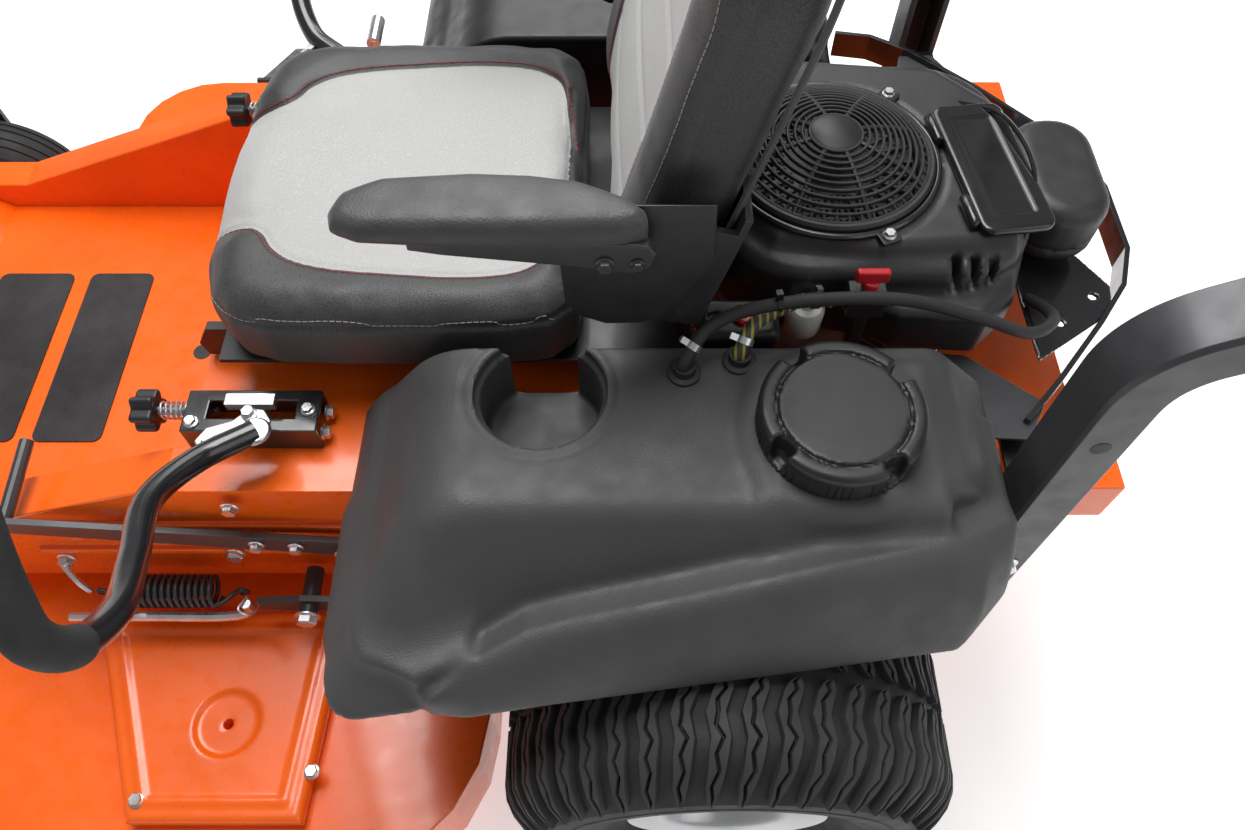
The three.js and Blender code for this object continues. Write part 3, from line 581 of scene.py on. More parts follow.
def rear_tyre(name, side):
    half, top = REAR_WHEEL["half"], REAR_WHEEL["radius"]
    lug = 9.0
    crown, flat, drop = top - lug, 62, 44

    def radius_at(y):
        return tyre_radius(y, crown, flat, half, drop)

    tread = [(radius_at(y), y) for y in np.linspace(-half + 1, half - 1, 25)]
    wall = [(196, half - 0.5), (188, half), (186, half - 1.6), (183, half - 1.6), (181, half),
            (164, half - 1.5),
            (162, half - 3.2), (159, half - 3.2), (157, half - 3), (140, half - 12), (124, half - 24),
            (108, half - 33),
            (103.5, half - 36)]
    profile = tread + wall + [(103.5, -half + 36)] + [(r, -y) for r, y in reversed(wall)][1:]
    carcass = lathe(profile, 96, closed=True)
    shapes = [carcass]
    count = 46
    pitch = 2 * math.pi / count

    def block(angle, ys, low, high):
        rings = []
        for y, a, b in zip(ys, low, high):
            slope = (radius_at(y + 1) - radius_at(y - 1)) / 2
            out = np.array([1.0, -slope]) / math.hypot(1, slope)
            ease = min(1.5, (b - a) / 4)
            outline = ((-2, a), (lug * 0.8, a + ease * 0.4), (lug, a + ease), (lug, b - ease),
                       (lug * 0.8, b - ease * 0.4), (-2, b))
            points = []
            for reach, across in outline:
                r = radius_at(y) + out[0] * reach
                turn = angle + across / top
                points.append((r * math.cos(turn), r * math.sin(turn), y + out[1] * reach))
            rings.append(points)
        return loft(rings)

    ys = np.array([5, 9, 16, 26, 38, 50, 62, 74, 86, 97, 105, 111.0])
    lean = np.interp(ys, [5, 38, 62, 86, 111], [0, 13, 9, 15, 26])
    wide = np.interp(ys, [5, 9, 16, 74, 97, 105, 111], [4, 8, 10.9, 10.7, 9, 6, 2.2])
    sipe = lean + 2.4 * np.minimum(1, wide / 10) * np.where(np.arange(len(ys)) % 2, 1, -1)
    for i in range(count):
        for hand, offset in ((1, 0.0), (-1, 0.5)):
            angle = (i + offset) * pitch
            shapes.append(block(angle, ys * hand, lean - wide, sipe - 1))
            shapes.append(block(angle, ys * hand, sipe + 1, lean + wide))
    shape = turn_to(merge(*shapes), (0, side * REAR_WHEEL["y"], top), (0, side, 0))
    tyre = piece(name, shape, RUBBER, f"{name.split('_')[0]}_drive_wheel", sharp=28)
    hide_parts(f"{name.split('_')[0]}_rear_tyre")


def rear_rim(hand, side):
    outside = [(0, 40), (30, 40), (34, 37), (36, 26), (52, 22), (66, 26), (80, 36), (88, 46), (94, 62),
               (96, 82),
               (101, 88), (113.5, 95), (115, 92), (102.5, 84), (102.5, -84), (114, -94), (113, -97),
               (101, -90),
               (96, -80), (94, -30), (88, 10), (78, 16), (60, 12), (40, 6), (0, 6)]
    shapes = [lathe(outside, 64)]
    for i in range(5):
        angle = 2 * math.pi * i / 5
        shapes.append(hex_bolt((57 * math.cos(angle), 57 * math.sin(angle), 23), (0, 0, 1), 19, 16, 13))
    shapes.append(sweep([(80, 30, 30), (86, 32, 46), (88, 33, 62)], 4, 10, True))
    shapes.append(lathe([(0, -188), (24, -188), (24, 7), (0, 7)], 24))
    shape = turn_to(merge(*shapes), (0, side * REAR_WHEEL["y"], REAR_WHEEL["radius"]), (0, side, 0))
    rim = piece(f"{hand}_wheel_disc", shape, SILVER, f"{hand}_drive_wheel")
    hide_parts(f"{hand}_rear_rim")


def front_wheel(hand, side):
    half, top = FRONT_WHEEL["half"], FRONT_WHEEL["radius"]
    ribs = []
    for y in np.linspace(-33, 33, 67):
        groove = 2.6 if min(abs(abs(y) - 10), abs(abs(y) - 26)) < 2.2 else 0
        ribs.append((top - 0.2 - 0.006 * y * y - groove, y))
    wall = [(128, 42), (116, 48), (102, half), (88, 48), (76, 43), (70, 37), (67, 36)]
    profile = ribs + wall + [(r, -y) for r, y in reversed(wall)]
    centre = (FRONT_WHEEL["x"], side * FRONT_WHEEL["y"], top)
    tyre = piece(f"{hand}_front_tyre", turn_to(lathe(profile, 72, closed=True), centre, (0, 1, 0)), RUBBER,
                 f"{hand}_front_wheel", sharp=28)
    hub = [(10, -48), (26, -48), (28, -46), (28, -20), (48, -14), (60, -26), (66, -36), (73, -42), (75, -41),
           (69, -33), (69, 33), (75, 41), (73, 42), (66, 36), (60, 26), (48, 14), (28, 20), (28, 46),
           (26, 48), (10, 48)]
    disc = piece(f"{hand}_front_hub", turn_to(lathe(hub, 56, closed=True), centre, (0, 1, 0)), SILVER,
                 f"{hand}_front_wheel")
    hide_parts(f"{hand}_front_wheel")
    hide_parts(f"{hand}_front_wheel")


def caster_trim(hand, side):
    x, y = 1290, side * FRONT_WHEEL["y"]
    cap = lathe([(0, 392), (22, 392), (27, 397), (22, 404), (12, 408), (0, 409)], 32)
    shapes = [shifted(cap, (x, y, 0))]
    for offset, way in ((-74, -1), (74, 1)):
        shapes.append(hex_bolt((FRONT_WHEEL["x"], y + offset, FRONT_WHEEL["radius"]), (0, way, 0), 22, 12))
    piece(f"{hand}_caster_fasteners", merge(*shapes[1:]), ZINC, f"{hand}_caster")
    piece(f"{hand}_caster_cap", shapes[0], PLASTIC, f"{hand}_caster")


# ---- fuel tank and fenders ----
# Plan lines along X of the top edge, the crease (with its height) and the lip of the flange.
TANK_EDGE = [(-264, 372), (-190, 405), (-67, 426), (420, 427)]
TANK_CREASE = [(-264, 385), (-190, 418), (-67, 445), (58, 464), (170, 480), (210, 488), (258, 512),
               (315, 558),
               (420, 590)]
CREASE_HEIGHT = [(-264, 600), (-190, 612), (-67, 616), (58, 590), (170, 570), (210, 562), (258, 550),
                 (315, 535),
                 (420, 520)]
TANK_LIP = [(-264, 470), (-220, 516), (-31, 542), (187, 570), (290, 588), (420, 596)]
FLANGE_PLAN = [(318, 566), (300, 582), (261, 587), (150, 572), (46, 557), (-207, 523), (-258, 470),
               (-262, 300),
               (-100, 260), (330, 260), (392, 300), (400, 380), (394, 470), (362, 535)]
NOSE_PLAN = [(262, 246), (392, 250), (402, 380), (396, 470), (362, 540), (310, 562), (262, 540)]


def fender_field(x, y, z, rear):
    """The moulded shell over a drive wheel: flat top, falling outer wall, crease and rolled flange."""
    top, inner, front = TANK["top"], TANK["inner"], TANK["front"]
    edge = np.interp(x, *zip(*TANK_EDGE))
    crease = np.interp(x, *zip(*TANK_CREASE))
    lip = np.interp(x, *zip(*TANK_LIP))
    height = np.interp(x, *zip(*CREASE_HEIGHT))
    fall = np.clip((crease - edge) / (top - height), 0.05, 1.5)
    outer = (y - edge - fall * (top - z)) / np.sqrt(1 + fall ** 2)
    slope = ((x - front) * 128 + (z - top) * 104) / math.hypot(128, 104)
    back = soft_max(rear - x, ((rear + 62 - x) + (z - top)) / math.sqrt(2), 12)
    body = soft_max(soft_max(soft_max(outer, y - lip - 2, 8), z - top, 14), slope, 34)
    body = soft_max(soft_max(body, inner + 0.5 - y, 5), soft_max(back, 513 - z, 6), 12)
    plan = [(max(a, rear + 2), b) for a, b in FLANGE_PLAN]
    across = y - crease
    roll = np.clip((across - 30) / np.maximum(lip - crease - 30, 18), 0, 1.2)
    lid = height + 9 * np.clip(across / 30, 0, 1) ** 1.5 - (height - 511) * roll ** 1.9
    flange = soft_max(soft_max(polygon_field(x, y, plan) + 3, (z - lid) * 0.8, 12), 513 - z, 6)
    drop = box_field(x, y, z, (262, 346, 421), (410, 530, 545), 34)
    nose = soft_max(slope - 2, polygon_field(x, y, NOSE_PLAN), 10)
    nose = soft_max(nose, np.maximum(505 - z, z - 560), 10)
    return soft_min(soft_min(soft_min(body, flange, 5), drop, 14), nose, 14)


def tank_field(x, y, z):
    shell = fender_field(x, y, z, TANK["rear"])
    pad = box_field(x, y, z, (-186, 262, 560), (-4, 500, 644), 12)
    pad = soft_max(pad, (y - 424 - 0.77 * (644 - z)) / 1.26, 12)
    ring = raised(np.hypot(x - CAP["x"], y - CAP["y"]) - 94, z, 590, 644, 12)
    shell = soft_min(shell, soft_min(pad, ring, 16), 12)
    reach = np.hypot(x - CUP["x"], y - CUP["y"])
    well = raised(reach - CUP["radius"], z, CUP["floor"], 760, 6)
    ledge = raised(reach - CUP["radius"] - 5, z, 628, 760, 3)
    slot = box_field(x, y, z, (184, 200, CUP["floor"]), (216, 296, 760), 5)
    groove = abs(reach - CUP["radius"] - 17) - 2.5
    shell = soft_max(shell, -np.minimum(np.minimum(well, slot), ledge), 3)
    ring = np.maximum(groove, 638.2 - z)
    neck = raised(np.hypot(x - CAP["x"], y - CAP["y"]) - 52, z, 600, 700, 3)
    return soft_max(soft_max(shell, -ring, 2), -neck, 3)


def fuel_tank():
    shape = contour(tank_field, (-266, 240, 420), (440, 590, 646), 4.0)
    tank = piece("tank_shell", shape, TANK_GREY, "chassis", sharp=60)
    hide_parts("fuel_tank")
    right = contour(lambda x, y, z: fender_field(x, y, z, -165), (-167, 240, 420), (440, 590, 642), 5.0)
    fender = piece("right_fender_shell", mirrored(right), PLASTIC, "chassis", sharp=60)
    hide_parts("right_fender")


def fuel_cap():
    x, y, base, height, radius = (CAP[k] for k in ("x", "y", "base", "height", "face"))

    def field(px, py, pz):
        reach = np.hypot(px - x, py - y)
        angle = np.arctan2(py - y, px - x)
        rim = radius - 0.5 - 1.6 * np.cos(angle * 36) ** 8 * (pz < base + height - 12)
        body = raised(reach - rim, pz, base, base + height, 7)
        ring = np.maximum(abs(reach - radius + 17) - 1.8, base + height - 2.6 - pz)
        grip = np.minimum.reduce([
            box_field((px - x) * math.cos(t) + (py - y) * math.sin(t),
                      -(px - x) * math.sin(t) + (py - y) * math.cos(t),
                      pz, (radius - 16, -11, base + 8), (radius + 20, 11, base + height + 20), 8)
            for t in (0.6, 2.17, 3.74, 5.31)])
        return soft_max(soft_max(body, -ring, 1.5), -grip, 4)

    shape = contour(field, (x - radius, y - radius, base), (x + radius, y + radius, base + height), 2.5)
    cap = piece("fuel_cap_moulding", shape, PLASTIC, "fuel_cap", sharp=50)
    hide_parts("fuel_cap")


def grommet(at, radius):
    x, y, z = at
    profile = [(0, 0.4), (radius + 9, 0.4), (radius + 9, 3.4), (radius + 6, 5), (radius + 3.6, 5),
               (radius + 3, 13),
               (0, 13)]
    return shifted(lathe(profile, 28), (x, y, z))


def clamp(at, axis, radius, width=7):
    band = [(radius, -width / 2), (radius + 1.6, -width / 2), (radius + 1.6, width / 2), (radius, width / 2)]
    lug = slab((radius, -3.5, -3.2), (radius + 9, 3.5, 3.2))
    return turn_to(merge(lathe(band, 28, closed=True), lug), at, axis)


def fuel_lines():
    fuel = curve_through(FUEL_HOSE, 3)
    vent = curve_through(VENT_HOSE, 3)
    hose = piece("fuel_line", sweep(fuel, 7.4, 16), STRIPED, "chassis", sharp=60)
    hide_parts("fuel_hose")
    second = piece("vent_line", sweep(vent, 6.6, 16), HOSE, "chassis", sharp=60)
    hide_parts("vent_hose")
    piece("tank_grommets", merge(grommet((2, 262, 640), 8), grommet((58, 276, 640), 8)), HOSE, "chassis")
    rings = [clamp(fuel[i], fuel[i + 1] - fuel[i], 7.6) for i in (9, len(fuel) - 7)]
    rings.append(clamp(vent[12], vent[13] - vent[12], 6.8))
    piece("hose_clamps", merge(*rings), ZINC, "chassis")
    piece("cable_tie", clamp(vent[42], vent[43] - vent[42], 6.8, 4), GLOSS_PLASTIC, "chassis")


def fuel_valve():
    body = merge(slab((-148, 185, 642), (-110, 209, 674)), lathe_at([(0, 0), (9, 0), (9, 4), (6, 5),
                                                                     (6, 22), (0, 22)],
                 (-110, 197, 656), (1, 0, 0)), lathe_at([(0, 0), (9, 0), (9, 4), (6, 5), (6, 12), (0, 12)],
                 (-148, 197, 656), (-1, 0, 0)), slab((-136, 190, 448), (-122, 204, 644)))
    valve = piece("valve_body", body, PLASTIC, "chassis", bevel=2.5)
    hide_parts("fuel_valve")
    knob = merge(lathe_at([(0, 0), (9, 0), (9, 12), (0, 12)], (-129, 197, 677), (0, 0, 1)),
                 slab((-146, 192.5, 687), (-112, 201.5, 703)))
    turn = piece("valve_handle", knob, RED, "valve_knob", bevel=3)
    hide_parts("fuel_valve_knob")
    canister = [(0, 0), (18, 0), (20, 3), (20, 34), (16, 40), (9, 42), (7, 52), (0, 52)]
    piece("fuel_filter", lathe_at(canister, (-76, 178, 590), (0, 0.1, 1)), WHITE, "chassis")


def lathe_at(profile, at, axis, steps=32, closed=False):
    return turn_to(lathe(profile, steps, closed), at, axis)


# ---- engine ----
def shroud_field(x, y, z):
    ex, ey, top = ENGINE["x"], ENGINE["y"], ENGINE["shroud"]
    outline = rounded_outline(-324, 23, -159, 173, 100, 8)
    body = raised(polygon_field(x, y, outline), z, 567, top - 18, 16)
    crown_line = [(-316, -60), (-250, -128), (-90, -144), (14, -70), (16, 70), (-40, 136), (-150, 152),
                  (-290, 140),
                  (-318, 60)]
    crown = raised(polygon_field(x, y, crown_line), z, top - 60, top, 13)
    lobe_line = [(-20, 90), (-322, 90), (-300, 168), (-262, 204), (-172, 198), (-110, 166)]
    lobe = raised(polygon_field(x, y, lobe_line), z, 567, top - 52, 14)
    shell = soft_min(soft_min(body, crown, 18), lobe, 16)
    reach = np.hypot(x - ex, y - ey)
    well = raised(reach - 97, z, top - 50, top + 40, 5)
    step = np.maximum(abs(reach - 124) - 2.2, top - 3 - z)
    seam = np.maximum(abs(z - 622) - 1.6, -polygon_field(x, y, outline) - 4)
    vents = np.minimum.reduce([box_field(x, y, z, (-150 + 34 * i, -170, 590), (-132 + 34 * i, -150, 640), 3)
                               for i in range(4)])
    ribs = np.minimum.reduce([box_field(x, y, z, (-232 - 20 * i, 150, 640), (-222 - 20 * i, 260, 700), 3)
                              for i in range(3)])
    shell = soft_max(shell, -well, 5)
    return soft_max(soft_max(soft_max(shell, -step, 2), -np.minimum(vents, ribs), 3), -seam, 2)


def grille_height(reach):
    return 694 + 33 * (1 - (np.asarray(reach, float) / 112) ** 2.4)


def engine_cover():
    shape = contour(shroud_field, (-326, -162, 566), (26, 206, 690), 4.0)
    shroud = piece("blower_shroud", shape, SHROUD, "chassis", sharp=55)
    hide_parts("blower_housing")
    at = (ENGINE["x"], ENGINE["y"], 0)
    shapes = []
    for reach in np.linspace(28, 104, 11):
        z = float(grille_height(reach))
        ring = [(reach - 1.6, z - 4), (reach + 1.6, z - 4), (reach + 1.6, z - 0.8), (reach + 0.6, z),
                (reach - 0.6, z),
                (reach - 1.6, z - 0.8)]
        shapes.append(lathe(ring, 72, closed=True))
    hub = [(0, 719), (18, 719), (26, 721), (28, 725), (24, 727.5), (0, 728)]
    shapes.append(lathe(hub, 48))
    rim = [(104, 689), (112, 689), (112, 696), (109.5, 699), (106, 699), (104, 697)]
    shapes.append(lathe(rim, 96, closed=True))
    for i in range(8):
        angle = 2 * math.pi * (i + 0.35) / 8
        path = [(r * math.cos(angle), r * math.sin(angle),
                 float(grille_height(r)) - 3.4) for r in np.linspace(20, 109, 12)]
        shapes.append(sweep(path, 3.1, 8))
    for i in range(48):
        angle = 2 * math.pi * (i + 0.5) / 48
        path = [(r * math.cos(angle), r * math.sin(angle), float(grille_height(r)) - 2.6) for r in (95, 101,
                                                                                                    108)]
        shapes.append(sweep(path, 1.9, 6))
    grille = piece("fan_guard", shifted(merge(*shapes), at), PLASTIC, "chassis")
    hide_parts("fan_grille")
    collar = [(112.8, 688.2), (120, 688.2), (120, 691.5), (117.5, 694), (114.5, 694), (112.8, 692.5)]
    lug = slab((112, -11, 688.2), (134, 11, 692.6))
    lugs = [rotated(lug, math.radians(a)) for a in (112, 232, 352)]
    piece("guard_collar", shifted(merge(lathe(collar, 96, closed=True), *lugs), at), GLOSS_BLACK, "chassis",
          bevel=1)
    bolts = [hex_bolt((ENGINE["x"] + 125 * math.cos(math.radians(a)),
                       ENGINE["y"] + 125 * math.sin(math.radians(a)),
                       692.6), (0, 0, 1), 10, 6) for a in (112, 232, 352)]
    piece("guard_bolts", merge(*bolts), ZINC, "chassis")
    fins = [lathe([(0, 674.3), (93, 674.3), (95, 676), (95, 678), (60, 680), (30, 684), (0, 685)], 64)]
    for i in range(24):
        angle = 2 * math.pi * i / 24
        fins.append(rotated(slab((52, -1.2, 678), (92, 1.2, 684)), angle))
    piece("rotating_screen", shifted(merge(*fins), at), SCREEN, "flywheel")


def rotated(shape, angle):
    c, s = math.cos(angle), math.sin(angle)
    verts = np.asarray(shape[0], float)
    return np.stack([verts[:, 0] * c - verts[:, 1] * s, verts[:, 0] * s + verts[:, 1] * c, verts[:, 2]],
                    1), shape[1]


def flip_cover():
    long, wide = FLIP["long"], FLIP["wide"]

    def field(x, y, z):
        lid = raised(polygon_field(x, y, rounded_outline(-wide, -4, -long / 2, long / 2, 14)), z, 0, 10.5, 4)
        panel = box_field(x, y, z, (-wide + 16, -long / 2 + 20, 8.8), (-20, long / 2 - 20, 30), 4)
        thumb = box_field(x, y, z, (-wide - 8, -22, -3), (-wide + 7, 22, 7), 4)
        return soft_max(soft_max(lid, -panel, 2), -thumb, 3)

    lid = contour(field, (-wide, -long / 2, 0), (0, long / 2, 11), 2.5)
    barrels = []
    for y in (-62, 62):
        barrels.append(lathe_at([(0, -20), (5.2, -20), (6.2, -19), (6.2, 19), (5.2, 20), (0, 20)],
                                (0, y, 7), (0, 1, 0)))
        barrels.append(slab((-12, y - 18, 3), (2, y + 18, 9)))
    shape = shifted(rotated(merge(lid, *barrels), FLIP["turn"]), (FLIP["x"], FLIP["y"], FLIP["z"]))
    cover = piece("flip_cover_lid", shape, GLOSS_PLASTIC, "flip_cover", sharp=50)
    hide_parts("engine_flip_cover")


def air_filter():
    def field(x, y, z):
        body = raised(polygon_field(x, y, rounded_outline(-421, -326, -71, 91, 44)), z, 585, 667, 20)
        ribs = np.minimum.reduce([box_field(x, y, z, (-440, -52 + 22 * i, 600), (-414, -42 + 22 * i, 650), 3)
                                  for i in range(6)])
        band = np.maximum(abs(z - 610) - 1.6, -polygon_field(x, y,
                                                             rounded_outline(-421, -326, -71, 91, 44)) - 3)
        return soft_max(soft_max(body, -ribs, 2), -band, 2)

    shape = contour(field, (-422, -72, 584), (-325, 92, 668), 3.5)
    cover = piece("air_filter_housing", shape, SHROUD, "chassis", sharp=55)
    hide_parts("air_filter_cover")


def engine_details():
    """Cooling fins and valve covers on the two cylinders, the oil filter and the exhaust pipes."""
    x, y = ENGINE["x"], ENGINE["y"]
    fins, covers, bolts = [], [], []
    for turn in (0.65, -0.65):
        for i in range(8):
            z = 472 + 11 * i
            plate = prism(rounded_outline(-176, -60, -70, 70, 10, 3), z, z + 3)
            fins.append(shifted(rotated(plate, turn), (x, y, 0)))
        cover = slab((-194, -56, 474), (-166, 56, 552))
        covers.append(shifted(rotated(cover, turn), (x, y, 0)))
        for cy, cz in ((-44, 484), (44, 484), (-44, 542), (44, 542)):
            spot = rotated(([(-194, cy, cz)], []), turn)[0][0] + [x, y, 0]
            bolts.append(hex_bolt(spot, (-math.cos(turn), -math.sin(turn), 0), 10, 6))
    piece("cylinder_fins", merge(*fins), CAST, "chassis", bevel=0.8)
    piece("valve_covers", merge(*covers), BLACK_PAINT, "chassis", bevel=7, segments=3)
    piece("valve_cover_bolts", merge(*bolts), ZINC, "chassis")
    can = [(0, 0), (34, 0), (37, 3), (38, 70), (34, 78), (0, 80)]
    piece("oil_filter", lathe_at(can, (10, -40, 486), (1, -0.4, 0), 40), WHITE, "chassis")
    pipes = [curve_through([(-230, sy, 500), (-280, sy * 0.9, 488),
                            (-322, -60 + sy * 0.3, 494)]) for sy in (120, -70)]
    piece("exhaust_pipes", merge(*[sweep(p, 15, 16) for p in pipes]), STEEL, "chassis")
    arc = curve_through([(-262, -70, 684), (-300, -20, 706), (-318, 60, 700), (-300, 130, 660),
                         (-262, 166, 620)])
    piece("throttle_cable", sweep(arc, 2.6, 10), GLOSS_PLASTIC, "chassis")


# ---- seat ----
INSERT = curve_through([(176, 30), (190, 120), (212, 150), (245, 163), (300, 166), (360, 162), (422, 156),
                        (465, 145),
                        (490, 128), (506, 106), (530, 95), (590, 92)], 4)
BACK_INSERT = curve_through([(28, 60), (40, 108), (70, 134), (120, 146), (200, 150), (300, 148), (370, 140),
                             (420, 124),
                             (448, 96), (458, 40)], 4)
CUSHION_PLAN = [(586, 0), (585, 90), (577, 140), (560, 186), (532, 216), (490, 229), (420, 232), (250, 231),
                (190, 222),
                (160, 196), (152, 140), (152, 0)]
BACK_PLAN = [(196, 16), (216, 30), (228, 70), (232, 140), (232, 330), (228, 390), (212, 436), (180, 462),
             (140, 468)]


def both_halves(half):
    return half + [(a, -b) for a, b in reversed(half) if b]


def cushion_top(x, y):
    half = np.interp(x, INSERT[:, 0], INSERT[:, 1])
    inside = np.clip((half - abs(y)) / 40, -1, 1)
    bolster = 9 * np.clip((abs(y) - half + 12) / 46, 0, 1)
    centre = 7 * np.cos(np.clip(y / np.maximum(half, 1), -1, 1) * math.pi / 2) * (inside > -1)
    front_fall = 26 * np.clip((x - 520) / 70, 0, 1) ** 2.2
    rear_rise = 4 * np.clip((230 - x) / 80, 0, 1)
    return SEAT_TOP + bolster + centre + rear_rise - front_fall


def cushion_field(x, y, z):
    flat = polygon_field(x, y, both_halves(CUSHION_PLAN))
    bulge = 5 * np.sin(np.clip((z - 566) / 90, 0, 1) * math.pi) - 6
    return soft_max(soft_max(flat - bulge, z - cushion_top(x, y), 30), 568 - z, 10)


def back_spot(side, along, out):
    """Backrest coordinates (sideways, up along the back, out of its front) to drawing ones."""
    lean = BACK["lean"]
    side, along, out = (np.asarray(v, float) for v in (side, along, out))
    return np.stack([BACK["x"] - along * math.sin(lean) + out * math.cos(lean), side,
                     BACK["z"] + along * math.cos(lean) + out * math.sin(lean)], -1)


def back_outline():
    return BACK_PLAN + [(-a, b) for a, b in reversed(BACK_PLAN)]


def back_front(side, along):
    half = np.interp(along, BACK_INSERT[:, 0], BACK_INSERT[:, 1])
    bolster = 9 * np.clip((abs(side) - half + 10) / 44, 0, 1)
    lumbar = 7 * np.exp(-((along - 130) / 90) ** 2) * np.cos(np.clip(side / 170, -1, 1) * math.pi / 2)
    head = 5 * np.exp(-((along - 420) / 50) ** 2)
    return -14 + bolster + lumbar + head


def back_field(side, along, out):
    flat = polygon_field(side, along, back_outline())
    front = soft_max(flat + 4, out - back_front(side, along), 30)
    return soft_max(front, -86 - out, 16)


def inflate(shape, cap, pressure=4.0):
    """Runs cloth on a closed shape in drawing millimetres and returns it, puffed by at most cap."""
    verts, faces = shape
    mesh = bpy.data.meshes.new("simulated")
    mesh.from_pydata([tuple(v) for v in place(verts)], [], [list(map(int, f)) for f in faces])
    obj = bpy.data.objects.new("simulated", mesh)
    scene = bpy.context.scene
    scene.collection.objects.link(obj)
    cloth = obj.modifiers.new("cloth", "CLOTH")
    cloth.settings.use_pressure = True
    cloth.settings.uniform_pressure_force = pressure
    cloth.settings.effector_weights.gravity = 0
    cloth.settings.quality = 5
    cloth.point_cache.frame_start, cloth.point_cache.frame_end = 1, 20
    for number in range(1, 21):
        scene.frame_set(number)
    evaluated = obj.evaluated_get(bpy.context.evaluated_depsgraph_get())
    co = np.zeros(len(mesh.vertices) * 3)
    evaluated.data.vertices.foreach_get("co", co)
    scene.frame_set(1)
    bpy.data.objects.remove(obj)
    moved = (co.reshape(-1, 3) - ORIGIN) / MM - verts
    moved -= moved.mean(0)
    length = np.linalg.norm(moved, axis=1)[:, None]
    return verts + moved * np.minimum(1, cap / np.maximum(length, 1e-9)), faces


def relax(verts, faces, rounds=2):
    edges = np.unique(np.sort(np.concatenate([faces[:, [0, 1]], faces[:, [1, 2]], faces[:, [2, 3]],
                                              faces[:, [3, 0]]]), 1),
                      axis=0)
    for _ in range(rounds):
        total, count = np.zeros_like(verts), np.zeros(len(verts))
        for a, b in ((0, 1), (1, 0)):
            np.add.at(total, edges[:, a], verts[edges[:, b]])
            np.add.at(count, edges[:, a], 1)
        verts = verts + 0.5 * (total / count[:, None] - verts)
    return verts


def line_distance(points, u, v):
    """Distance from many points to a polyline."""
    best = np.full(u.shape, 1e9)
    for (ax, ay), (bx, by) in zip(points[:-1], points[1:]):
        ex, ey = bx - ax, by - ay
        t = np.clip(((u - ax) * ex + (v - ay) * ey) / (ex * ex + ey * ey), 0, 1)
        best = np.minimum(best, np.hypot(u - ax - ex * t, v - ay - ey * t))
    return best


def quilted(name, shape, split, seams, material, body):
    """A soft piece: one subdivision, sewn seams pressed in, and a mask attribute for its light insert."""
    obj = piece(name, shape, material, body, sharp=180)
    sub = obj.modifiers.new("smooth", "SUBSURF")
    sub.levels = sub.render_levels = 1
    bpy.context.view_layer.update()
    depsgraph = bpy.context.evaluated_depsgraph_get()
    mesh = bpy.data.meshes.new_from_object(obj.evaluated_get(depsgraph))
    obj.modifiers.clear()
    obj.data = mesh
    count = len(mesh.vertices)
    co, normal = np.zeros(count * 3), np.zeros(count * 3)
    mesh.vertices.foreach_get("co", co)
    mesh.vertex_normals.foreach_get("vector", normal)
    co, normal = co.reshape(-1, 3), normal.reshape(-1, 3)
    drawing = (co - ORIGIN) / MM
    depth = np.zeros(count)
    for seam, (deep, wide) in seams:
        depth = np.maximum(depth, deep * np.exp(-(seam(drawing) / wide) ** 2))
    co = co - normal * depth[:, None] * MM
    mesh.vertices.foreach_set("co", co.ravel())
    mask = mesh.attributes.new("insert", "FLOAT", "POINT")
    mask.data.foreach_set("value", split(drawing).astype(np.float32))
    mesh.update()
    return obj


def tree_of(obj):
    mesh = obj.data
    return BVHTree.FromPolygons([v.co.copy() for v in mesh.vertices],
                                [tuple(p.vertices) for p in mesh.polygons])


def stitches(name, tree, lines, towards, material, body, spacing=7.0, length=4.6, radius=0.55):
    """Short threads laid along lines, dropped onto a surface from the direction it faces."""
    shapes = []
    aim = Vector(towards).normalized()
    for line in lines:
        line = np.asarray(line, float)
        along = np.concatenate([[0], np.cumsum(np.linalg.norm(np.diff(line, axis=0), axis=1))])
        for start in np.arange(0, along[-1] - length, spacing):
            ends = []
            for at in (start, start + length / 2, start + length):
                spot = np.array([np.interp(at, along, line[:, k]) for k in range(3)])
                begin = Vector(place([spot])[0]) - aim * 0.09
                hit, _, _, _ = tree.ray_cast(begin, aim, 0.2)
                if hit is None:
                    break
                ends.append((np.array(hit - aim * 0.0004) - ORIGIN) / MM)
            if len(ends) == 3:
                shapes.append(sweep(ends, radius, 6, True))
    piece(name, merge(*shapes), material, body)


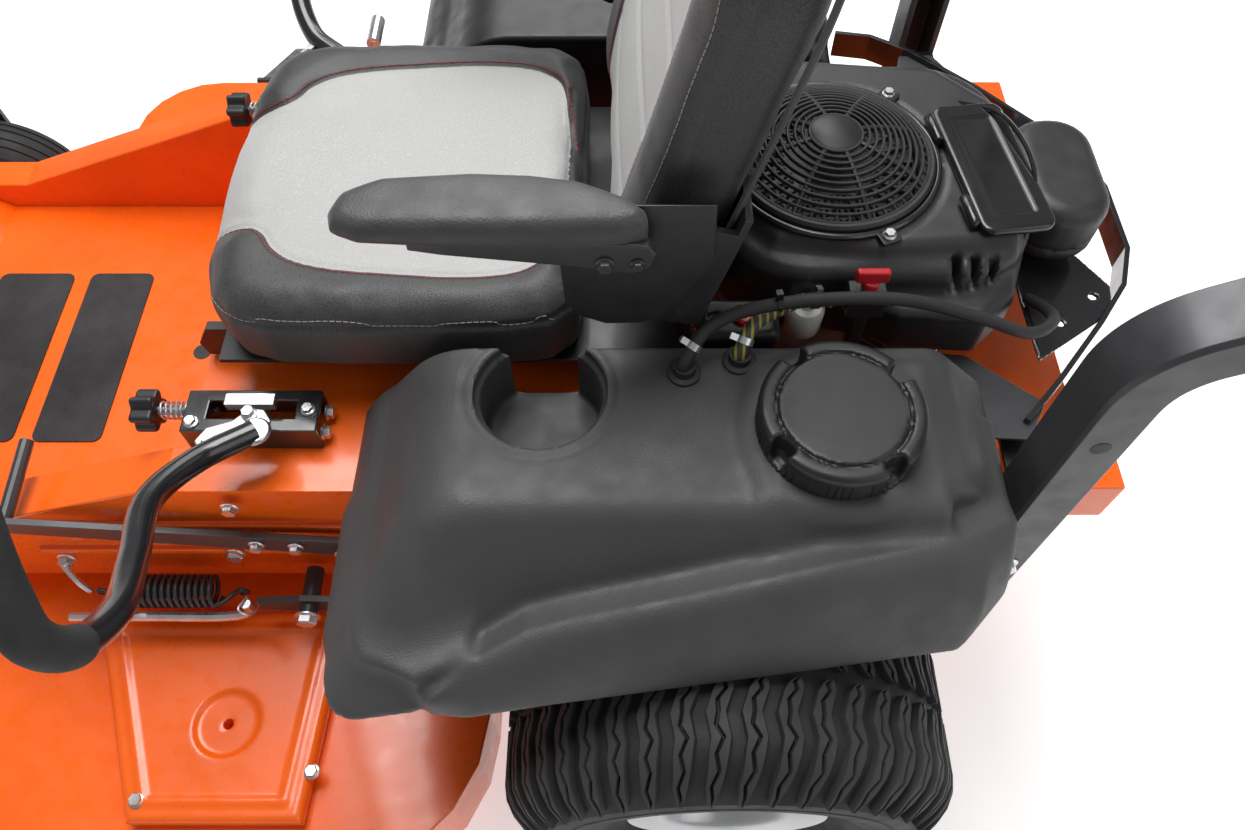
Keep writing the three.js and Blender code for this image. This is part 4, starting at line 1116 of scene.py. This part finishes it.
def seat_cushion():
    shape = contour(cushion_field, (152, -232, 568), (590, 232, 668), 7.0)
    verts, faces = inflate(shape, 7.0)
    verts = relax(verts, faces, 1)
    verts[:, 2] = np.clip(verts[:, 2], 563, 666)
    verts[:, 1] = np.clip(verts[:, 1], -234.5, 234.5)
    closed = np.vstack([INSERT, [[600, 92]]])
    mirror = closed * [1, -1]
    outline = both_halves([tuple(p) for p in CUSHION_PLAN])

    def split(p):
        half = np.interp(p[:, 0], closed[:, 0], closed[:, 1])
        near = np.minimum(line_distance(closed, p[:, 0], p[:, 1]), line_distance(mirror, p[:, 0], p[:, 1]))
        inside = (abs(p[:, 1]) < half) & (p[:, 0] > 178) & (p[:, 2] > 590)
        return np.where(inside, near, -near)

    def insert_seam(p):
        near = np.minimum(line_distance(closed, p[:, 0], p[:, 1]), line_distance(mirror, p[:, 0], p[:, 1]))
        return np.where(p[:, 2] > 590, near, 99.0)

    def side_seam(p):
        return np.where(polygon_field(p[:, 0], p[:, 1], outline) > -22,
                        p[:, 2] - 640 + 14 * (p[:, 0] > 560), 99.0)

    def rear_seam(p):
        return np.where((p[:, 2] > 620) & (abs(p[:, 1]) < 120), p[:, 0] - 178, 99.0)

    cushion = quilted("cushion", (verts, faces), split, [(insert_seam, (3.2, 4.0)), (side_seam, (2.2, 3.2)),
                      (rear_seam, (3.0, 4.0))], VINYL, "seat")
    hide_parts("seat_cushion")
    tree = tree_of(cushion)

    def offset_line(by):
        slope = np.gradient(INSERT, axis=0)
        slope /= np.linalg.norm(slope, axis=1)[:, None]
        moved = INSERT + np.stack([-slope[:, 1], slope[:, 0]], 1) * by
        return [np.column_stack([moved[:, 0], s * moved[:, 1], np.full(len(moved), 690)]) for s in (1, -1)]

    stitches("cushion_red_stitching", tree, offset_line(5), (0, 0, -1), RED_THREAD, "seat")
    rim = curve_through([(560, 165, 640), (535, 196, 640), (500, 212, 640), (420, 217, 640),
                         (250, 216, 640), (185, 206, 640)], 5)
    stitches("cushion_grey_stitching", tree, [rim + [0, 0, 40], (rim + [0, 0, 40]) * [1, -1, 1]],
             (0, 0, -1), GREY_THREAD, "seat")


def seat_backrest():
    local = contour(back_field, (-234, 14, -88), (234, 472, 6), 7.0)
    shape = (back_spot(*local[0].T), local[1])
    verts, faces = inflate(shape, 7.0)
    verts = relax(verts, faces, 1)
    verts[:, 1] = np.clip(verts[:, 1], -235, 235)

    def unlean(p):
        lean = BACK["lean"]
        dx, dz = p[:, 0] - BACK["x"], p[:, 2] - BACK["z"]
        return p[:, 1], -dx * math.sin(lean) + dz * math.cos(lean), dx * math.cos(lean) + dz * math.sin(lean)

    line = np.array([(b, a) for a, b in BACK_INSERT])
    mirror = line * [-1, 1]

    def near_insert(side, along):
        return np.minimum(line_distance(line, side, along), line_distance(mirror, side, along))

    def split(p):
        side, along, out = unlean(p)
        half = np.interp(along, BACK_INSERT[:, 0], BACK_INSERT[:, 1])
        inside = (abs(side) < half) & (along > 28) & (along < 458) & (out > -40)
        return np.where(inside, near_insert(side, along), -near_insert(side, along))

    def insert_seam(p):
        side, along, out = unlean(p)
        return np.where(out > -40, near_insert(side, along), 99.0)

    def rim_seam(p):
        side, along, out = unlean(p)
        return np.where(polygon_field(side, along, back_outline()) > -20, out + 34, 99.0)

    def rolls(p):
        side, along, out = unlean(p)
        half = np.interp(along, BACK_INSERT[:, 0], BACK_INSERT[:, 1])
        gaps = np.minimum.reduce([abs(along - v) for v in (110, 190, 270, 350)])
        return np.where((abs(side) < half) & (out > -40), gaps, 99.0)

    back = quilted("backrest", (verts, faces), split, [(insert_seam, (3.2, 4.0)), (rim_seam, (2.4, 3.4)),
                   (rolls, (2.2, 5.0))], VINYL, "seat")
    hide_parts("seat_backrest")
    tree = tree_of(back)
    aim = -(back_spot(0, 0, 1) - back_spot(0, 0, 0))
    lines = []
    for s in (1, -1):
        side = s * (BACK_INSERT[:, 1] + 5)
        lines.append(back_spot(side, BACK_INSERT[:, 0], np.full(len(side), 40)))
    stitches("backrest_red_stitching", tree, lines, aim, RED_THREAD, "seat")
    edge = curve_through([(205, 60, 40), (211, 140, 40), (211, 330, 40), (204, 400, 40), (176, 440, 40)], 5)
    grey = [back_spot(s * edge[:, 0], edge[:, 1], edge[:, 2]) for s in (1, -1)]
    stitches("backrest_grey_stitching", tree, grey, aim, GREY_THREAD, "seat")
    piping = curve_through([(s, a, -85) for s, a in [(190, 22), (215, 40), (228, 90), (230, 230),
                                                     (228, 380), (205, 440), (150, 464),
                            (0, 466), (-150, 464), (-205, 440), (-228, 380), (-230, 230), (-228, 90),
                            (-215, 40), (-190, 22)]], 6)
    piece("backrest_piping", sweep(back_spot(*piping.T), 3.2, 8), DARK_VINYL, "seat")


def armrests():
    plan = [(96, 266), (97, 250), (112, 236), (155, 214), (198, 206), (249, 203), (324, 210), (360, 227),
            (369, 250),
            (365, 268), (340, 277), (200, 277), (118, 274)]

    def field(x, y, z):
        flat = polygon_field(x, y, plan)
        crown = 850 - 0.003 * (y - 240) ** 2 - 6 * np.clip((x - 320) / 50, 0, 1) ** 2
        return soft_max(soft_max(flat + 1, z - crown, 18), 807 + 0.07 * (x - 96) - z, 12)

    shape = contour(field, (95, 202, 805), (372, 279, 851), 4.0)
    for hand, side in SIDES:
        body = f"{hand}_armrest"
        pad = piece(f"{hand}_arm_pad", sided(shape, side), DARK_VINYL, body, sharp=180)
        sub = pad.modifiers.new("smooth", "SUBSURF")
        sub.levels = sub.render_levels = 1
        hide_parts(body)
        arm = prism([(90, 812), (94, 796), (110, 788), (138, 792), (173, 799), (271, 812), (300, 818),
                     (300, 826),
                     (118, 826), (96, 822)], 262, 274, "y")
        piece(f"{hand}_arm_bracket", sided(arm, side), BLACK_PAINT, body, bevel=2)
        bolts = merge(hex_bolt((134, 274, 802), (0, 1, 0), 12, 7), hex_bolt((106, 274, 802), (0, 1, 0), 9, 5))
        piece(f"{hand}_arm_bolts", sided(bolts, side), BLACK_PAINT, body)
        shield = prism([(40, 846), (37, 780), (58, 730), (83, 694), (104, 687), (135, 686), (158, 697),
                        (173, 717),
                        (175, 771), (160, 812), (140, 846)], 247.4, 249.6, "y")
        piece(f"{hand}_back_shield", sided(shield, side), PLASTIC, "seat", bevel=1)


def buckle():
    def field(x, y, z):
        body = box_field(x, y, z, (-43, 183, 612), (41, 235, 646), 11)
        holes = [np.hypot((x + 10) / 1.25, y - 209) - 15]
        top = np.maximum(holes[0], 634 - z)
        dots = np.minimum(np.hypot((x - 24) / 1.3, y - 209) - 6, np.hypot((x + 33) / 1.3, y - 209) - 5)
        return soft_max(soft_max(body, -top, 2), -np.maximum(dots, 642 - z), 1.5)

    shape = contour(field, (-44, 182, 611), (42, 236, 647), 2.5)
    stalk = slab((10, 196, 447), (30, 212, 616))
    case = piece("buckle_case", merge(shape, stalk), PLASTIC, "chassis", sharp=50)
    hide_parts("belt_buckle")

    def cap(x, y, z):
        flat = np.hypot((x + 10) / 1.25, y - 209) - 12
        return soft_max(raised(flat, z, 635, 650, 4), -(np.hypot(np.hypot(x + 10, y - 209),
                                                                 z - 668) - 19.5), 2)

    button = piece("buckle_red_button", contour(cap, (-26, 194, 634), (6, 224, 651), 1.6), RED,
                   "buckle_button",
                   sharp=60)
    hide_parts("buckle_button")


# ---- steering levers ----
def levers():
    route = curve_through(LEVER_ROUTE, 6)
    start = int(np.argmin(np.linalg.norm(route - np.array(LEVER_ROUTE[GRIP_START]), axis=1)))
    for hand, side in SIDES:
        body = f"{hand}_lever"
        steel = piece(f"{hand}_lever_tube", sided(sweep(route[:start + 3], 13.5, 20), side), GLOSS_BLACK,
                      body, sharp=50)
        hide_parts(f"{hand}_lever")
        grip_line = route[start:]
        swell = 16.6 + 0.5 * np.sin(np.linspace(0, 6, len(grip_line)))
        grip = piece(f"{hand}_lever_grip", sided(sweep(grip_line, swell, 22, True), side), FOAM, body,
                     sharp=60)
        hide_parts(f"{hand}_lever")
        plate = prism([(566, 311), (555, 328), (525, 324), (498, 300), (490, 286), (500, 272), (516, 270),
                       (531, 286),
                       (557, 295)], 560.6, 566.4)
        weld = lathe_at([(0, 0), (18, 0), (15, 5), (0, 5)], (504, 300, 565.6), (0, 0, 1), 28)
        adapter = piece(f"{hand}_lever_adapter", sided(merge(plate, weld), side), ZINC, body,
                        bevel=2)
        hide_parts(f"{hand}_lever")
        spots = ((514, 279), (549, 311))
        heads = [hex_bolt((x, y, 566.4), (0, 0, 1), 12, 9) for x, y in spots]
        ends = [stud((x, y, 560), (0, 0, -1), 4, 9) for x, y in spots]
        piece(f"{hand}_lever_bolts", sided(merge(*heads, *ends), side), ZINC, body)


def lever_stations():
    for hand, side in SIDES:
        heads = [hex_bolt((449.8, y, z), (-1, 0, 0), 13, 8) for y, z in ((246, 518), (272, 518))]
        heads += [hex_bolt((462, 258, 542), (0, 0, 1), 11, 7), hex_bolt((586, 274, 542), (0, 0, 1), 11, 7)]
        heads.append(hex_bolt((555, 340.2, 470), (0, 1, 0), 15, 9))
        piece(f"{hand}_bracket_bolts", sided(merge(*heads), side), ZINC, "chassis")
        rod = [lathe_at([(0, 0), (5.2, 0), (5.2, 66), (0, 66)], (570, 246, 522), (1, 0, 0), 20)]
        outline = [((20.5 + 3.5 * math.cos(6 * a)) * math.cos(a),
                    (20.5 + 3.5 * math.cos(6 * a)) * math.sin(a))
                   for a in np.linspace(0, 2 * math.pi, 72, endpoint=False)]
        knob = turn_to(prism(outline, 0, 25), (636, 246, 522), (1, 0, 0))
        turn = piece(f"{hand}_tracking_handle", sided(knob, side), PLASTIC, f"{hand}_tracking_knob",
                     bevel=3.5,
                     segments=3)
        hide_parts(f"{hand}_tracking_knob")
        screw = piece(f"{hand}_tracking_screw", sided(merge(*rod,
                stud((598, 246, 522), (1, 0, 0), 5.4, 38)), side), ZINC,
                      f"{hand}_tracking_knob")
        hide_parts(f"{hand}_tracking_knob")
        spring = coil((599, 246, 522), (634, 246, 522), 9.5, 1.5, 6)
        piece(f"{hand}_tracking_spring", sided(spring, side), ZINC, "chassis")
    piece("pan_grommet", lathe_at([(0, 0), (13, 0), (13, 0.7), (0, 0.7)], (725, 7, 300.2), (0, 0, 1)), HOSE,
          "chassis")


# ---- deck lift ----
def lift_gear():
    spring = merge(coil((622, 372, 300), (738, 372, 300), 18.5, 3.0, 14),
                   sweep(curve_through([(622, 390.5, 300), (612, 386, 300), (600, 374, 300),
                                        (590, 372, 304), (586, 372, 296), (594, 372, 292)], 3), 3, 8, True),
                   sweep(curve_through([(738, 390.5, 300), (748, 384, 300), (758, 374, 300),
                                        (768, 372, 304), (771, 372, 297), (764, 372, 292)], 3), 3, 8, True))
    obj = piece("lift_spring_coil", spring, BLACK_PAINT, "chassis", sharp=60)
    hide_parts("lift_spring")
    eye = [(804, 352, 330), (790, 366, 316), (780, 372, 302)]
    piece("spring_anchor", merge(sweep(curve_through(eye, 4), 4, 10, True),
                                 hex_bolt((804, 340.3, 330), (0, 1, 0), 17, 10)), ZINC,
          "chassis")
    heads = [hex_bolt((x, 356.2, z), (0, 1, 0), 13, 9) for x, z in ((499, 400), (543, 406))]
    piece("pedal_nuts", merge(*heads, hex_bolt((440, 362.2, 388), (0, 1, 0), 22, 12)), ZINC, "lift_pedal")
    piece("crank_nut", merge(hex_bolt((505, 404, 300), (0, 1, 0), 22, 12),
                             hex_bolt((447, 392.2, 300), (0, 1, 0), 13, 8)), ZINC,
          "lift_shaft")
    pin = curve_through([(572, 392, 330), (578, 408, 334), (566, 412, 326), (560, 400, 318),
                         (566, 392, 312)], 3)
    piece("hairpin_clip", sweep(pin, 1.6, 8, True), ZINC, "link_rod")
    piece("rail_bolt", hex_bolt((591, 340.2, 345), (0, 1, 0), 17, 10), ZINC, "chassis")


# ---- deck covers, pads ----
def belt_covers():
    plan = [(476, 374), (800, 374), (697, 631), (493, 631)]

    def field(x, y, z):
        body = raised(polygon_field(x, y, plan), z, 208.6, 236, 9)
        reach = np.hypot(x - 602, y - 517)
        dish = raised(reach - 39, z, 231, 260, 5)
        body = soft_max(soft_max(body, -dish, 5), 6 - reach, 2)
        bead = soft_max(abs(polygon_field(x, y, plan) + 24) - 4, z - 238.5, 3)
        return soft_min(body, np.maximum(bead, 225 - z), 4)

    shape = contour(field, (472, 370, 206), (804, 636, 240), 3.5)
    for hand, side in SIDES:
        cover = piece(f"{hand}_belt_guard", sided(shape, side), ORANGE, "deck", sharp=50)
        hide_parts(f"{hand}_belt_cover")
        spots = [(488, 574), (688, 606), (772, 392)]
        piece(f"{hand}_belt_guard_bolts", sided(merge(*[hex_bolt((x, y, 236), (0, 0, 1), 13, 8) for x,
                                                        y in spots]), side), ZINC,
              "deck")


def foot_pads():
    shapes = [prism(rounded_outline(x0, x1, -138, 158, 12), 300.2, 302.4) for x0,
              x1 in ((830, 925), (950, 1062))]
    piece("foot_grip_pads", merge(*shapes), GRIT, "chassis", bevel=0.8)


def rollover_post(hand, side):
    """A channel bent in one smooth knee: flange, web and flange with the open side inwards."""
    t = np.linspace(0, 1, 15)[:, None]
    x, half, wall, corner = (ROPS[k] for k in ("x", "half", "wall", "corner"))
    inner, outer = ROPS["inner"], ROPS["outer"]
    knee = (1 - t) ** 2 * [x, 760] + 2 * t * (1 - t) * [x, 812] + t ** 2 * [x - 44, 836]
    line = np.vstack([[[x, ROPS["foot"]], [x, 600]], knee, [[-420, 878], [-496, 919]]])
    along = np.gradient(line, axis=0)
    along /= np.linalg.norm(along, axis=1)[:, None]
    half_in, web = half - wall, outer - wall
    section = [(-half, inner), (-half, outer - corner), (corner - half, outer), (half - corner, outer),
               (half, outer - corner), (half, inner), (half_in, inner), (half_in, web - 2),
               (half_in - 2, web), (2 - half_in, web), (-half_in, web - 2), (-half_in, inner)]
    rings = [[(x + across * tz, y, z - across * tx) for across, y in section]
             for (x, z), (tx, tz) in zip(line, along)]
    post = piece(f"{hand}_rollover_channel", sided(loft(rings), side), GREY_STEEL, "chassis",
                 sharp=40,
                 bevel=1)
    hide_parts(f"{hand}_rops_post")
    # painted shade: a thin near-black disc on the web stands in for the shaded inside of a hole
    shade_disc = lathe_at([(0, 0), (9, 0), (9, 0.6), (0, 0.6)], (-297, 399.8, 705), (0, 1, 0))
    piece(f"{hand}_channel_hole_shade", sided(shade_disc, side), HOSE, "chassis")


def rollover_details():
    for hand, side in SIDES:
        rollover_post(hand, side)
        gusset = prism([(-233, 197), (-259, 200), (-334, 262), (-308, 308), (-263, 306)], 560, 563.6)
        piece(f"{hand}_gusset", sided(gusset, side), GREY_STEEL, "chassis", bevel=1)
        heads = [hex_bolt((x, 400.2, z), (0, 1, 0), 19, 11) for x, z in ((-298, 455), (-298, 420))]
        heads.append(hex_bolt((-470, 410.2, 905), (0, 1, 0), 22, 12))
        piece(f"{hand}_post_bolts", sided(merge(*heads), side), ZINC, "chassis")
        pin = curve_through([(-440, 408, 880), (-440, 430, 880), (-452, 444, 880), (-440, 452, 880)], 4)
        piece(f"{hand}_fold_pin", sided(sweep(pin, 4, 10, True), side), ZINC, "chassis")


def rear_plate():
    plan = [(-402, -45), (-409, 53), (-442, 106), (-438, 128), (-417, 156), (-337, 211), (-334, 128),
            (-336, -45)]

    def field(x, y, z):
        holes = np.minimum(np.hypot(x + 418, y - 122), np.hypot(x + 372, y - 160)) - 5
        return soft_max(raised(polygon_field(x, y, plan), z, 565, 570, 1.5), -holes, 1)

    piece("rear_mount_plate", contour(field, (-444, -47, 564), (-332, 213, 571), 2.5), GLOSS_BLACK, "chassis",
          sharp=50)


# ---- studio ----
def studio():
    scene = bpy.context.scene
    data = bpy.data.cameras.new("camera")
    data.sensor_width = 36
    data.lens = CAMERA["lens"]
    camera = bpy.data.objects.new("camera", data)
    scene.collection.objects.link(camera)
    camera.location = place([CAMERA["at"]])[0]
    camera.rotation_euler = (math.radians(CAMERA["tilt"]), 0, math.pi)
    scene.camera = camera

    radius, steps, drop = (FLOOR[k] for k in ("radius", "steps", "drop"))
    rings = [[(radius * math.cos(a), radius * math.sin(a), -drop)]
             for a in np.linspace(0, 2 * math.pi, steps, endpoint=False)]
    mesh = bpy.data.meshes.new("floor")
    mesh.from_pydata([tuple(place(r)[0]) for r in rings], [], [list(range(steps))])
    floor = bpy.data.objects.new("floor", mesh)
    scene.collection.objects.link(floor)
    pale = surface("floor_white", (0.86, 0.86, 0.86), 0.7, grain=60.0, depth=0.02, spread=0.01)
    pale.node_tree.nodes["Principled BSDF"].inputs["Emission Color"].default_value = (1, 1, 1, 1)
    pale.node_tree.nodes["Principled BSDF"].inputs["Emission Strength"].default_value = 0.5
    mesh.materials.append(pale)

    world = bpy.data.worlds.new("studio")
    scene.world = world
    world.use_nodes = True
    world.node_tree.nodes["Background"].inputs["Color"].default_value = (1, 1, 1, 1)
    world.node_tree.nodes["Background"].inputs["Strength"].default_value = 0.24
    for name, spot, size, power in LAMPS:
        lamp = bpy.data.lights.new(name, "AREA")
        lamp.shape = "SQUARE"
        lamp.size = size
        lamp.energy = power
        light = bpy.data.objects.new(name, lamp)
        scene.collection.objects.link(light)
        light.location = place([spot])[0]
        aim = Vector(place([LAMP_AIM])[0]) - light.location
        light.rotation_euler = aim.to_track_quat("-Z", "Y").to_euler()
    scene.view_settings.view_transform = "Standard"


dress_frame()
for side_name, side_sign in SIDES:
    rear_tyre(f"{side_name}_tyre_tread", side_sign)
    rear_rim(side_name, side_sign)
    front_wheel(side_name, side_sign)
    caster_trim(side_name, side_sign)
fuel_tank()
fuel_cap()
fuel_lines()
fuel_valve()
engine_cover()
flip_cover()
air_filter()
engine_details()
seat_cushion()
seat_backrest()
armrests()
buckle()
levers()
lever_stations()
lift_gear()
belt_covers()
foot_pads()
rollover_details()
rear_plate()
studio()
